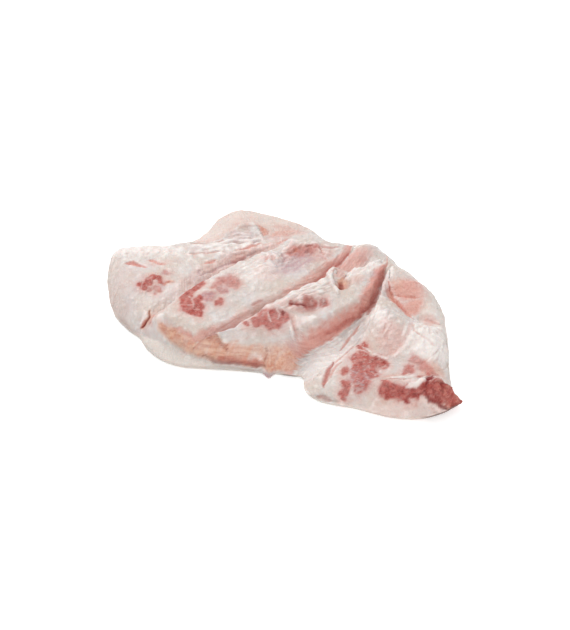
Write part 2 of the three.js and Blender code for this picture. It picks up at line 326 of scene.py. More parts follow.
def swells_and_creases(x, y):
    """The height that the swellings add at places, less the depth of the creases."""
    height = sum(row[5] * oval(x, y, row) for row in SWELLS)
    for path, depth, left, right in CREASES:
        gap, side, share = path_place(path, x, y)
        fade = ramp(share, 0, CREASE_END_SHARE) * ramp(share, 1, 1 - CREASE_END_SHARE)
        width = np.where(side > 0, left, right)
        height = height - depth * mix(CREASE_END_DEPTH, 1, fade) * np.exp(-(gap / width) ** 2)
    return height


print(len(SWELLS), "swellings and", len(CREASES), "creases")

# %% [markdown]
# ## Curves, panels and the rim
# Each rail between two panels, and each stretch of the outline, is one smooth curve through the rows above.
# A curve is sampled once, and then read at any share of its length. A panel lies between two rails and is
# bowed out to meet the outline. Its height goes from the lip of one cut to the bank of the next, and down
# that bank to the floor of the cut.

# %% Curves through rows
SPAN_SAMPLES = 48
OUTLINE_SAMPLES = 600


def curve_through(rows, first, last, closed=True):
    """A smooth curve through rows first to last, read at shares from 0 to 1 that are even along its plan."""
    rows = np.asarray(rows, float)
    spans = abs(last - first)
    step = 1 if last > first else -1

    def row(i):
        at = first + step * i
        return rows[at % len(rows)] if closed else rows[np.clip(at, 0, len(rows) - 1)]

    sample = np.arange(spans * SPAN_SAMPLES + 1)
    i = np.minimum(sample // SPAN_SAMPLES, spans - 1)
    t = (sample / SPAN_SAMPLES - i)[:, None]
    before, start, stop, after = row(i - 1), row(i), row(i + 1), row(i + 2)
    leave, arrive = (stop - before) / 2, (after - start) / 2
    bend = 3 * (stop - start) - 2 * leave - arrive
    twist = 2 * (start - stop) + leave + arrive
    points = start + t * (leave + t * (bend + t * twist))
    lengths = np.append(0, np.cumsum(np.hypot(*np.diff(points[:, :2], axis=0).T)))
    shares = lengths / lengths[-1]
    return lambda share: np.stack([np.interp(share, shares, column) for column in points.T], -1)


def end_rail(edge, top):
    """The left or right end of the slab as a rail: it has no cut, so its heights are all the same."""
    return lambda v: np.concatenate(
        [edge(v)[..., :2], np.full(np.shape(v) + (3,), float(top)), np.zeros(np.shape(v) + (1,))], -1)


PANELS = 4
near_edges = [curve_through(OUTLINE, NEAR_MARKS[k], NEAR_MARKS[k + 1]) for k in range(PANELS)]
far_edges = [curve_through(OUTLINE, FAR_MARKS[k], FAR_MARKS[k + 1]) for k in range(PANELS)]
left_end = curve_through(OUTLINE, NEAR_MARKS[0] + len(OUTLINE), FAR_MARKS[0])
right_end = curve_through(OUTLINE, NEAR_MARKS[4], FAR_MARKS[4])
rails = [end_rail(left_end, LEFT_TOP)]
rails += [curve_through(cut, 0, len(cut) - 1, closed=False) for cut in (CUT_ONE, CUT_TWO, CUT_THREE)]
rails += [end_rail(right_end, RIGHT_TOP)]
outline_curve = curve_through(OUTLINE, 0, len(OUTLINE))
outline_points = outline_curve(np.arange(OUTLINE_SAMPLES) / OUTLINE_SAMPLES)
print(len(rails), "rails,", len(outline_points), "points on the outline")

# %% Plan and height of the panels


def plan_of(panel, across, along):
    """Plan points on one panel. across runs from its left rail to its right one, along from near to far."""
    left, right = rails[panel], rails[panel + 1]
    middle = mix(left(along)[..., :2], right(along)[..., :2], across[..., None])
    bows = []
    for edges, end in ((near_edges, 0.0), (far_edges, 1.0)):
        chord = mix(left(np.array(end))[:2], right(np.array(end))[:2], across[..., None])
        bows.append(edges[panel](across)[..., :2] - chord)
    return middle + mix(bows[0], bows[1], along[..., None])


def lie_of(panel, across, along):
    """Height on one panel, distance from its lip, and climb up the next bank: 0 at its foot, 1 on its top."""
    start, stop = rails[panel](along), rails[panel + 1](along)
    width = np.hypot(*(stop - start)[..., :2].T).T
    lip, ground, bank = start[..., 2], stop[..., 3], stop[..., 4]
    bank_share = np.clip(stop[..., 5] / width, NARROWEST_BANK_SHARE, WIDEST_BANK_SHARE)
    climb = (1 - across) / bank_share
    floor_share = FLOOR_SHARES[panel]
    on_bank = mix(ground, bank, ramp(climb, floor_share, 1))
    flat = np.minimum(across / (1 - bank_share), 1)
    from_lip = across * width
    rounding = LIP_ROUND * np.clip((lip - start[..., 3]) / FULL_CUT, 0, 1)
    drop = rounding * (1 - np.clip(from_lip / LIP_WIDTH, 0, 1)) ** 2
    on_top = mix(lip, bank, smooth(flat)) + PANEL_CROWN[panel] * 4 * flat * (1 - flat) - drop
    return np.where(climb < 1, on_bank, on_top), from_lip, climb


middle_height = lie_of(1, np.array(0.5), np.array(0.5))[0]
print("the second panel is", middle_height.round(1), "mm high at its middle")

# %% The rim
EDGE_CHUNK = 4000


def line_gap(places, start, stop):
    """How far places lie from short lines, one line for each place."""
    way = stop - start
    t = np.clip(((places - start) * way).sum(1) / (way * way).sum(1), 0, 1)
    return np.hypot(*(places - start - t[:, None] * way).T)


def edge_at(x, y):
    """The gap from places to the outline, with the rim, ledge, shoulder and lift averaged over it near by."""
    ring = outline_points[:, :2]
    found = []
    for i in range(0, len(x), EDGE_CHUNK):
        places = np.stack([x[i:i + EDGE_CHUNK], y[i:i + EDGE_CHUNK]], -1)
        gaps = np.hypot(ring[:, 0] - places[:, :1], ring[:, 1] - places[:, 1:])
        nearest = gaps.argmin(1)
        here = ring[nearest]
        gap = np.minimum(line_gap(places, ring[nearest - 1], here),
                         line_gap(places, here, ring[(nearest + 1) % len(ring)]))
        weight = np.exp((gaps.min(1, keepdims=True) - gaps) / EDGE_BLEND)
        around = weight @ outline_points[:, 2:] / weight.sum(1, keepdims=True)
        found.append(np.hstack([gap[:, None], around]))
    gap, rim, ledge, shoulder, lift = np.vstack(found).T
    return gap, rim, ledge, shoulder, np.maximum(lift, 0)


print("the middle of the plan is", edge_at(np.zeros(1), np.zeros(1))[0].round(1), "mm from the outline")

# %% [markdown]
# ## The fine grid
# The top is a grid of columns across the panels and rows along the cuts, with a few more columns up the steep
# face of each cut. Round it hangs the wall, and under it a rind that shrinks in rings to the flat that the
# slab rests on. Every point keeps its place in the form, because the tissues are laid out with it.

# %% Points of the top
PANEL_CELLS = [88, 76, 92, 88]
FACE_CELLS = 6
ROWS = 205
EDGE_CELL_SHARE = 0.55
# Columns of a point's row that are set by themselves
PANEL_AT, FROM_LIP_AT, CLIMB_AT, GAP_AT = 3, 4, 5, 7


def eased(cells):
    """Shares from 0 to 1, closer together at both ends."""
    even = np.arange(cells + 1) / cells
    return mix(smooth(even), even, EDGE_CELL_SHARE)


row_shares = eased(ROWS - 1)
top_blocks = []
column_places = []
for panel in range(PANELS):
    shares = mix(0 if panel == 0 else LIP_OFFSET, 1, eased(PANEL_CELLS[panel]))
    across, along = np.meshgrid(shares, row_shares, indexing="ij")
    plan = plan_of(panel, across, along)
    x, y = plan[..., 0], plan[..., 1]
    height, from_lip, climb = lie_of(panel, across, along)
    height = height + swells_and_creases(x, y)
    gap, rim, ledge, shoulder, lift = (v.reshape(x.shape) for v in edge_at(x.ravel(), y.ravel()))
    up_shoulder = np.clip((gap - ledge) / shoulder, 0, 1)
    eased_shoulder = up_shoulder ** 2 * (1 + SHOULDER_FOOT) / (up_shoulder + SHOULDER_FOOT)
    roundness = 1 - (1 - eased_shoulder) ** SHOULDER_POWER
    height = mix(rim + LEDGE_SLOPE * np.minimum(gap, ledge), height, roundness)
    block = np.stack([x, y, height, np.full(x.shape, panel), from_lip, climb, along, gap, ledge], -1)
    if panel > 0:
        foot = top_blocks[-1][-1]
        rise = np.arange(1, FACE_CELLS)[:, None, None] / FACE_CELLS
        face = mix(foot, block[0], rise)
        face[..., PANEL_AT] = panel
        face[..., FROM_LIP_AT] = 0
        face[..., CLIMB_AT] = -rise[..., 0]
        top_blocks.append(face)
        column_places += [panel] * (FACE_CELLS - 1)
    top_blocks.append(block)
    column_places += list(panel + shares)
top = np.concatenate(top_blocks)
column_places = np.array(column_places, float)
COLUMNS = len(top)
print("top grid:", COLUMNS, "columns by", ROWS, "rows")

# %% Points of the wall and the underside
WALL_ROWS = 8
UNDERSIDE_SCALES = [0.95, FLAT_SCALE, 0.75, 0.55, 0.35, 0.15]

ring_columns = np.concatenate([np.arange(COLUMNS - 1), np.full(ROWS - 1, COLUMNS - 1),
                               np.arange(COLUMNS - 1, 0, -1), np.zeros(ROWS - 1, int)])
ring_rows = np.concatenate([np.zeros(COLUMNS - 1, int), np.arange(ROWS - 1),
                            np.full(COLUMNS - 1, ROWS - 1), np.arange(ROWS - 1, 0, -1)])
ring_at = ring_columns * ROWS + ring_rows
rim_points = top[ring_columns, ring_rows]
rim_lift = edge_at(rim_points[:, 0], rim_points[:, 1])[4]


def drawn_in(scale):
    """The ring of the rim's plan points, drawn in towards the middle of the slab."""
    place = mix(PANELS / 2, column_places[ring_columns], scale)
    along = mix(0.5, row_shares[ring_rows], scale)
    plan = np.zeros((len(place), 2))
    for panel in range(PANELS):
        here = np.minimum(place.astype(int), PANELS - 1) == panel
        plan[here] = plan_of(panel, place[here] - panel, along[here])
    return plan


def ring(plan, height):
    """A ring of points below the rim, with the rim's own place in the form and no gap to the outline."""
    points = rim_points.copy()
    points[:, :2] = plan
    points[:, 2] = height
    points[:, GAP_AT] = 0
    return points


lower_edge = drawn_in(LOWER_EDGE_SCALE)
rings = []
for i in range(1, WALL_ROWS + 1):
    down = i / WALL_ROWS
    rings.append(ring(mix(rim_points[:, :2], lower_edge, down ** 2), mix(rim_points[:, 2], rim_lift, down)))
for scale in UNDERSIDE_SCALES:
    inward = (LOWER_EDGE_SCALE - scale) / (LOWER_EDGE_SCALE - FLAT_SCALE)
    rings.append(ring(drawn_in(scale), rim_lift * max(1 - inward, 0)))
centre = rings[-1].mean(0)
points = np.concatenate([top.reshape(-1, top.shape[-1])] + rings + [centre[None]])
X, Y, Z, PANEL, FROM_LIP, CLIMB, ALONG, GAP, LEDGE = points.T
TOP_COUNT = COLUMNS * ROWS
RING_COUNT = len(ring_at)
is_top = np.arange(len(points)) < TOP_COUNT
# How far down the wall a point is: 0 on the top, 1 at the lower edge and under the slab
ring_steps = np.repeat(np.minimum(np.arange(1, len(rings) + 1) / WALL_ROWS, 1), RING_COUNT)
DOWN = np.concatenate([np.zeros(TOP_COUNT), ring_steps, [1]])
print(len(points), "points,", RING_COUNT, "round the rim")

# %% Faces and the mesh
columns, rows = np.meshgrid(np.arange(COLUMNS - 1), np.arange(ROWS - 1), indexing="ij")
at = (columns * ROWS + rows).ravel()
quads = [np.stack([at, at + ROWS, at + ROWS + 1, at + 1], -1)]
upper = ring_at
for i in range(len(rings)):
    lower = TOP_COUNT + i * RING_COUNT + np.arange(RING_COUNT)
    quads.append(np.stack([upper, lower, np.roll(lower, -1), np.roll(upper, -1)], -1))
    upper = lower
faces = np.concatenate(quads).tolist()
faces += np.stack([upper, np.full(RING_COUNT, len(points) - 1), np.roll(upper, -1)], -1).tolist()

low, high = (np.array(corner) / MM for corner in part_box("jowl"))
form_middle = (points[:, :2].min(0) + points[:, :2].max(0)) / 2
shift = np.append((low + high)[:2] / 2 - form_middle, 0)
mesh = bpy.data.meshes.new("jowl_meat")
mesh.from_pydata((points[:, :3] + shift) * MM, [], faces)
mesh.update()
jowl = bpy.data.objects.new("jowl_meat", mesh)
scene.collection.objects.link(jowl)
print(len(faces), "faces; moved by", shift.round(2), "mm to the solid's middle")

# %% [markdown]
# ## Where the tissues are
# Raw jowl is fat with islands of lean in it. Each tissue is a mask, a number from 0 to 1 at every point,
# which is kept in the mesh as an attribute. Painting the masks by hand could not be repeated, so they are
# laid out in plan, from spots, paths and ovals in millimetres. Noise frays their edges, as real tissue has
# no clean outline. It comes from Blender's own noise functions, which give the same numbers on every run.

# %% Noise
RAIL_SAMPLES = 99
rail_shares = np.linspace(0, 1, RAIL_SAMPLES)
rail_lengths = [np.hypot(*np.diff(rail(rail_shares)[:, :2], axis=0).T).sum() for rail in rails]
panel_lengths = np.array([(a + b) / 2 for a, b in zip(rail_lengths, rail_lengths[1:])])
panel_at = PANEL.astype(int)
WAY_ALONG = ALONG * panel_lengths[panel_at]
# The step between the noise of one panel and the next, so that no two panels have the same strands
PANEL_STEP = 40


def noise_at(places, octaves):
    """Soft noise of about -1 to 1 at places whose unit is one lump."""
    return np.array([noise.fractal(p, 1.0, 2.0, octaves) for p in places.tolist()])


def cloud(size, octaves=3, seed=0.0):
    """Noise in round lumps of about that size in millimetres."""
    return noise_at(points[:, :3] / size + seed, octaves)


def strands(long, wide, octaves=2, seed=0.0):
    """Noise drawn out along the cuts, as meat and fat are. A strand's length and width are in millimetres."""
    places = np.stack([WAY_ALONG / long, FROM_LIP / wide - CLIMB * (CLIMB < 0), PANEL * PANEL_STEP], -1)
    return noise_at(places + seed, octaves)


fray = cloud(5, 4, seed=3.7)
wide_fray = cloud(16, 3, seed=9.1)
WARP = 1.6
warped_x = X + WARP * cloud(6, 2, seed=21.3)
warped_y = Y + WARP * cloud(6, 2, seed=33.9)
print("panels about", panel_lengths.round(), "mm long")
print("fray from", fray.min().round(2), "to", fray.max().round(2))

# %% Lips and faces of the cuts
LIP_FADE = 3
FACE_FADE = 0.2
# How much of a step each panel's left lip is: 1 where its cut is deep, 0 where the cut has run out
STEP = np.zeros(len(X))
for panel in range(1, PANELS):
    rail = rails[panel](ALONG)
    STEP = np.where(PANEL == panel, np.clip((rail[:, 2] - rail[:, 3]) / FULL_CUT, 0, 1), STEP)
at_lip = np.exp(-FROM_LIP / LIP_FADE) * STEP * is_top
on_face = ramp(CLIMB, 0, -FACE_FADE) * STEP * is_top
print(f"lips cover {100 * at_lip[is_top].mean():.1f} % of the top")

# %% Brushes
MELT = 6
SPOT_FRAY = 0.3
PATCH_LEVEL = 1.3
STROKE_LEVEL = 1.25
STROKE_FRAY = 0.25
STROKE_END = 0.2
STROKE_END_WIDTH = 0.35


def spots_mask(spots, soft):
    """A mask of round spots that melt together where they are close. Each spot: x, y, radius."""
    total = np.full(len(X), 1e-9)
    for x, y, radius in spots:
        total += np.exp(MELT * (1 - np.hypot(warped_x - x, warped_y - y) / radius))
    return ramp(np.log(total) / MELT + SPOT_FRAY * fray, -soft, soft)


def patch(row):
    """An oval with a level middle and a frayed edge. The row ends with its strength."""
    return row[5] * smooth(PATCH_LEVEL * oval(warped_x, warped_y, row) * (1 + 0.3 * wide_fray + 0.25 * fray))


def stroke(path, width):
    """A mask along a path: 1 on it, 0 further away than about its width, and thinner at both ends."""
    gap, _, share = path_place(path, mix(X, warped_x, 0.5), mix(Y, warped_y, 0.5))
    taper = mix(STROKE_END_WIDTH, 1, ramp(share, 0, STROKE_END) * ramp(share, 1, 1 - STROKE_END))
    return smooth(STROKE_LEVEL - gap / (width * taper) + STROKE_FRAY * fray)


def window(values, low, high, soft):
    """1 between two limits, falling to 0 over a soft margin on both sides."""
    return smooth((values - low) / soft + 0.5) * smooth((high - values) / soft + 0.5)


# Some tissues also carry painted light: the suet's white paints highlights on the ridges and lips, and the
# pink blush, grey film, brown and dark red paint shade in creases, slits, the pit and along the lower edges.
TISSUES = ["suet_and_highlight", "blush_and_shade", "film_and_shade", "amber", "rind", "lean", "brown_and_shade", "dark_red_and_shade"]
masks = {name: np.zeros(len(X)) for name in TISSUES}
relief = np.zeros(len(X))


def lay(name, mask):
    """Adds to a tissue's mask, where it is more than what is there."""
    masks[name] = np.maximum(masks[name], np.clip(mask, 0, 1))


def lay_ovals(name, rows, strength=1.0):
    """Lays a tissue in frayed ovals. Each row: x, y, half-length, half-width, turn, strength."""
    for row in rows:
        lay(name, strength * patch(row))


print("brushes ready for", ", ".join(TISSUES))

# %% [markdown]
# ## Lean
# The red islands sit at much the same place on each panel. Those on the left panels are small, the one on the
# right panel is granular, and a long band along its near edge ends in the red tip. Lean is in lighter and
# darker lumps, flecks of fat break it up, and a pink halo lies round it.

# %% Lean
# Each island: how red it is, how speckled with fat it is, how soft its edge is, and its spots: x, y, radius
LEAN_ISLANDS = {
    "left panel": (1.0, 0.5, 0.28, [
        (-110, 23, 4), (-107, 29, 2.8), (-103, 32, 3), (-99, 31, 2.8), (-98, 28, 2.2), (-105, 26, 2.4)]),
    "left panel, pale": (0.6, 0.7, 0.4, [
        (-105, 20, 2.4), (-100, 22, 2.4), (-97, 19, 2), (-101, 17, 2), (-95, 27, 2.2), (-92, 29, 1.6)]),
    "left panel, small": (0.5, 0.8, 0.4, [(-94, 39, 2.8), (-91, 37, 2)]),
    "second panel": (1.0, 0.25, 0.28, [
        (-75.5, 1, 5.5), (-73, 7, 3), (-77, 6, 3.8), (-74, 10, 4), (-70, 15, 4.2), (-66, 20, 4),
        (-75, -6, 4.6), (-70, -9, 4.2), (-66, 0, 4.2), (-66, -7, 3.8), (-65, -13, 3.4), (-64, -6, 3)]),
    "second panel, spot": (0.9, 0.2, 0.3, [(-49, -1, 2.9), (-52, -2, 2.2)]),
    "second panel, pale": (0.68, 0.2, 0.55, [(-46, 21, 6), (-40, 18, 6), (-43, 22, 6), (-52, 15, 4)]),
    "second panel, purple": (0.5, 0.4, 0.4, [(-47, 9, 3), (-50, 11, 2.6)]),
    "third panel": (0.88, 0.35, 0.26, [
        (-23, -24, 3.4), (-21, -28, 3.6), (-16, -20, 4.4), (-16, -26, 4.6), (-12, -27.5, 4.4), (-10, -21, 5),
        (-6, -28, 4.8), (-3, -22, 4.6), (0, -23, 4), (-29, -28, 2.4), (-17, -17, 2.8)]),
    "second panel, grains": (0.45, 0.9, 0.4, [(-59, 3, 5), (-55, 6, 3)]),
    "groove": (0.8, 0.3, 0.35, [(5, -11, 2), (10, -10, 2.4), (17, -8, 4.4), (21, -6, 4.4), (29, -6, 3.6)]),
    "far red": (0.6, 0.4, 0.65, [
        (4, 59, 3), (9, 62, 4), (13, 60, 3.4), (20, 64, 4.4), (26, 68, 3.4), (15, 64, 3)]),
    "granular": (0.93, 0.7, 0.26, [
        (58, -42, 4), (52, -51, 5), (57, -50, 5), (60, -57, 6), (67, -56, 5), (72, -59, 4), (54, -58, 5),
        (63, -64, 5.5)]),
    "granular, near": (0.84, 0.85, 0.3, [
        (52, -60, 4), (52, -66, 4), (55, -65, 5), (54, -70, 5), (54, -74, 4.5), (54, -78, 3.4),
        (60, -70, 5.5), (66, -68, 4), (58, -76, 4)]),
    "drops": (0.9, 0.15, 0.3, [(44, -63, 3.4), (45, -74, 3.2), (43, -79, 3.2), (42, -83, 2)]),
    "band": (1.0, 0.2, 0.26, [
        (71, -83, 3.6), (74, -85, 4), (78, -87, 3.6), (82, -89, 3.4), (87, -90, 3.2), (91, -90.5, 3),
        (95, -90.5, 3), (99, -90, 3)]),
    "tip": (1.0, 0.2, 0.26, [
        (103, -89.5, 3.2), (106, -91.5, 3), (109, -88, 5), (114, -89, 5.5), (119, -88, 6), (124, -87, 6),
        (110, -84, 3.5)]),
    "above the band": (0.85, 0.4, 0.4, [
        (90, -66, 3.6), (92, -69, 2.6), (87, -70, 2), (97, -77, 2.2), (104, -75, 2.4)]),
    "above the band, pale": (0.6, 0.4, 0.5, [
        (95, -60, 3.6), (98, -63, 4), (101, -67, 4), (104, -71, 3.6), (108, -76, 3)]),
}

HALO_WIDTH = 2.6
HALO_SOFT = 0.6
HALO_STRENGTH = 0.5
# The band and the tip get darker towards the right: the island, and how dark it gets
DARK_ISLANDS = {"band": 0.5, "tip": 0.3}

flecks = ramp(cloud(1.9, 2, seed=14.2), 0.12, 0.42)
shades = cloud(4.5, 2, seed=44.1)
lean_area = np.zeros(len(X))
for name, (redness, speckled, soft, spots) in LEAN_ISLANDS.items():
    island = spots_mask(spots, soft)
    halo = spots_mask([(x, y, radius + HALO_WIDTH) for x, y, radius in spots], HALO_SOFT)
    lay("lean", redness * island * (0.94 + 0.22 * shades) * (1 - speckled * flecks))
    lay("blush_and_shade", HALO_STRENGTH * redness * halo)
    lean_area = np.maximum(lean_area, island)
    print(f"{name}: {100 * island[is_top].mean():.1f} % of the top")
for name, darkest in DARK_ISLANDS.items():
    darker = mix(0.2, darkest, ramp(X, 76, 90)) * smooth(0.6 + 0.8 * shades)
    lay("dark_red_and_shade", darker * spots_mask(LEAN_ISLANDS[name][3], 0.3))

# %% [markdown]
# ## Blush
# The knife went through thin sheets of meat on the banks of the cuts, so they are dusty pink, more in some
# stretches than in others. The floor of the third cut is white again. Paler muscles take the same pink.

# %% Blush
# For each bank: shares of its length, and how pink it is there
BANK_BLUSH = [
    ([0, 0.2, 0.35, 0.5, 0.7, 0.85, 1], [0.1, 0.12, 0.3, 0.4, 0.45, 0.35, 0.1]),
    ([0, 0.06, 0.1, 0.3, 0.4, 0.5, 0.58, 0.75, 0.9, 1], [0, 0, 0.75, 0.6, 0.4, 0.42, 0.7, 0.8, 0.9, 0.5]),
    ([0, 0.1, 0.5, 0.8, 1], [0.7, 0.9, 1.0, 0.9, 0.3]),
]
# How far up each bank the pink begins to fade, as a share of its height
BLUSH_FADE = [0.65, 0.55, 0.3]
BANK_TOP = 1.05
# On the third panel the pink ends in a fringe of hairs at the foot of the bank: their width in millimetres,
# and their reach as a share of the bank
THIRD_PANEL = 2
HAIR_WIDTH = 1.8
HAIR_REACH = 0.3
BLUSH_OVALS = [
    (95, 19, 14, 11, 160, 0.9), (97, 2, 8, 9, 140, 0.85), (78, -40, 14, 11, 112, 0.45),
    (54, 50, 17, 8, 40, 0.75), (15, 62, 18, 6, 25, 0.7), (0, 94, 16, 5, 20, 0.55), (-100, -4, 9, 5, 40, 0.35),
    (106, -72, 10, 12, 110, 0.35), (90, -97, 40, 5, -6, 0.2), (-14, 50, 8, 3, 10, 0.45),
    (-12, 29, 10, 5, 30, 0.25), (110, -12, 8, 4, 160, 0.4), (50, 20, 14, 4, 20, 0.35),
    (12, -13, 10, 3, 20, 0.5), (-100, 51, 12, 4, 10, 0.3), (30, 58, 12, 6, 40, 0.45),
    (-78, -25, 10, 2, -30, 0.4), (-16, 36, 9, 4, 40, 0.2), (4, 98, 15, 6, -20, 0.45), (-20, 0, 6, 4, 35, 0.3),
    (-6, -13, 12, 4, 20, 0.35), (6, -26, 6, 8, 60, 0.25), (79, -71, 9, 3, 5, 0.45), (42, 33, 5, 6, 60, 0.55),
]

floor_shares = np.array(FLOOR_SHARES)[panel_at]
up_bank = (CLIMB - floor_shares) / (1 - floor_shares)
fade_from = np.array(BLUSH_FADE + [1])[panel_at]
hairs = noise_at(np.stack([WAY_ALONG / HAIR_WIDTH, up_bank, PANEL], -1), 2)
hair_lift = HAIR_REACH * hairs * window(ALONG, 0, 0.2, 0.1) * (PANEL == THIRD_PANEL)
on_bank = ramp(up_bank + 0.1 * fray + hair_lift, 0, 0.12) * is_top
on_bank *= ramp(up_bank + 0.2 * fray, BANK_TOP, fade_from)
for panel, (shares, strengths) in enumerate(BANK_BLUSH):
    lay("blush_and_shade", np.interp(ALONG, shares, strengths) * on_bank * (PANEL == panel) * (1 + 0.3 * wide_fray))
lay("blush_and_shade", 0.5 * on_face)
lay_ovals("blush_and_shade", BLUSH_OVALS)
print(f"blush: mean {masks['blush_and_shade'][is_top].mean():.2f} on the top")

# %% [markdown]
# ## Amber, film, rind and suet
# The near wall is amber where the outer layer has dried. A grey-lavender film covers parts of the far side.
# The rind is a pale tan and shows on the flap, the ledge at the near left, the left end and underneath; at
# the left end and along the lower edges it is darkened with painted shade. The whitest fat, suet, lies in
# patches, and on the lips and ridges the same white is a painted highlight.

# %% Amber and film
# The near wall's amber band. Each row: x, y of its lower edge, y of its upper edge
AMBER_BAND = np.array([
    [-98, -14.5, -12], [-93, -17.5, -14], [-89, -20.5, -16], [-81, -27, -22], [-73, -33.5, -28],
    [-66, -37, -32], [-58, -40, -31], [-50, -42, -33], [-45, -43, -37], [-34, -45, -38], [-28, -47, -40],
    [-17, -48, -40], [-13, -49, -41], [-5, -51, -40], [2, -52, -39], [7, -51, -41], [13, -48, -45]], float)
amber_low, amber_high = (np.interp(X, AMBER_BAND[:, 0], AMBER_BAND[:, i]) for i in (1, 2))
# The band has a clear upper edge at the left, and fades into the bank of the third cut at the right
amber_fade = mix(3, 8, ramp(X, -20, -12))
band = smooth((Y - amber_low) / 2 + 0.5) * smooth((amber_high - Y) / amber_fade + 0.5 + 0.4 * fray)
band *= ramp(X, -99, -94) * ramp(X - 9 * hairs, 14, 7)
lay("amber", band * is_top * (0.85 + 0.3 * wide_fray + 0.25 * strands(18, 2.4, seed=31.6)))
AMBER_OVALS = [
    (116, -88, 10, 6, 0, 0.9), (97, 2, 7, 8, 140, 0.15), (89, 26, 6, 4, 30, 0.35), (107, -71, 6, 9, 115, 0.3),
    (97, 17, 11, 8, 160, 0.15), (-33, -34, 14, 5, 20, 0.12), (75, -95, 40, 8, -8, 0.1),
]
lay_ovals("amber", AMBER_OVALS)

FILM_OVALS = [
    (9, 47, 19, 10, 38, 1.1), (-35, 90, 14, 6, 0, 0.4), (-59, 3, 6, 4.2, 40, 1.2), (-94, 38, 3.5, 3, 0, 0.5),
    (-47, 10, 4, 3, 0, 0.6), (-58, 38, 14, 4, 40, 0.3), (69, 30, 4, 4, 0, 0.5), (80, 24, 8, 4, 70, 0.3),
    (14, -12, 8, 3, 20, 0.4), (-72, 70, 8, 4, 20, 0.3), (56, -71, 10, 9, 0, 0.9), (4, -40, 4, 6, 0, 0.3),
    (-97, 23, 4, 3, 0, 0.45), (-12, -56, 5, 6, 0, 1.6), (-90, -15, 5, 2, -20, 0.35),
    # The oval over the left end is painted shade
    (-128, 22, 20, 26, 0, 0.3),
]
film_strands = 0.6 + 0.7 * smooth(0.5 + strands(9, 2.6, seed=15.8))
lay_ovals("film_and_shade", FILM_OVALS, 0.75 * film_strands)
print(f"amber: mean {masks['amber'][is_top].mean():.2f}, film: mean {masks['film_and_shade'][is_top].mean():.2f}")

# %% Rind and suet
# The flap's near edge, as a path across the far side
FLAP_EDGE = np.array([[-92, 88], [-77, 80], [-65, 79], [-57, 82], [-51, 86], [-46, 93], [-40, 97], [-25, 98],
                      [-17, 90], [0, 90], [16, 100]], float)
past_edge = Y - np.interp(X, FLAP_EDGE[:, 0], FLAP_EDGE[:, 1])
on_flap = smooth(past_edge / 5 + 0.2 + 0.3 * fray) * window(X, -88, 18, 14)
# The near ledge, the left end, a soft border along the right and far edges, and all below the rim
on_ledge = ramp(LEDGE - GAP, -2, 2) * (LEDGE > 0.5) * (Y < 0)
at_left_end = ramp(GAP, 15, 2) * ramp(X, -118, -128) * ramp(Y, 70, 60)
at_right_edge = ramp(GAP, 8, 1) * ramp(X, 10, 20) * ramp(Y, -70, -40) * (1 - on_bank) * (CLIMB > 0)
below_rim = (DOWN > 0) * 1.0
# The rind's edge is darkened brown under the tip, beside the near step and along the near left: painted shade
# where the edge meets the floor
under_tip = below_rim * ramp(X, 94, 106) * ramp(Y, -86, -90)
beside_step = below_rim * window(X, -3, 9, 5) * (Y < -45)
left_rim = ramp(GAP, 3.5, 0.5) * window(X, -130, -108, 10) * (Y < 20)
near_rim = ramp(GAP, 3, 0.5) * window(X, -112, -16, 10) * (Y < 0)
# Each zone: its tissue, its strength there, and where it is
ZONES = [
    ("rind", mix(0.3, 0.55, ramp(X, -66, -50)), on_flap), ("suet_and_highlight", 0.9, on_flap), ("amber", 0.17, on_flap),
    ("blush_and_shade", mix(0.28, 0.06, ramp(past_edge, 0, 18)), on_flap),
    ("rind", 0.8, on_ledge), ("rind", 0.4, at_right_edge), ("rind", 1.0, below_rim),
    # At the left end the amber and the brown laid over the rind are painted shade
    ("rind", 0.6, at_left_end), ("amber", 0.12, at_left_end), ("brown_and_shade", 0.1, at_left_end),
    ("brown_and_shade", 0.9, under_tip), ("brown_and_shade", 0.7, beside_step), ("brown_and_shade", 0.3, left_rim),
    ("brown_and_shade", 0.18, near_rim),
]
for name, strength, zone in ZONES:
    lay(name, strength * zone)

SUET_OVALS = [
    (-112, 66, 34, 8, 0, 0.9), (106, -42, 16, 18, 0, 0.9), (60, 36, 22, 7, 35, 0.7),
    (108, -24, 13, 4, 170, 1.0), (-8, -12, 12, 4, 30, 1.0), (38, -44, 22, 9, 40, 0.5),
    (18, 6, 20, 8, 40, 1.0), (68, -16, 18, 6, 112, 0.9), (-46, 76, 34, 8, 8, 0.7), (-24, 44, 16, 6, 40, 0.5),
    (-94, -12, 3.6, 3, 0, 0.25), (88, -74, 8, 2.2, 178, 0.4), (95, -86, 6, 2, 175, 0.9),
    (-30, -34, 14, 4, 25, 0.4),
    (-16, 32, 20, 9, 40, 0.85), (114, -20, 8, 26, 0, 0.7), (36, -42, 24, 10, 42, 0.9),
    (-84, 20, 12, 8, 40, 0.5), (-112, 10, 12, 8, 30, 0.4), (104, -17, 10, 5, 170, 0.8),
    (15, -23, 7, 4, 30, 1.0), (-6, -12, 10, 3, 20, 0.7),
    (66, -95, 34, 5, -8, 0.6), (-92, -21, 8, 4, -40, 0.5), (-15, 6, 8, 4, 40, 0.5), (30, -34, 14, 6, 42, 1.2),
]
lay_ovals("suet_and_highlight", SUET_OVALS, 0.8)
# A painted highlight along the lips, in the suet's white
lay("suet_and_highlight", 0.7 * at_lip * (CLIMB >= 0))
print(f"rind: mean {masks['rind'][is_top].mean():.2f}, suet: mean {masks['suet_and_highlight'][is_top].mean():.2f}")
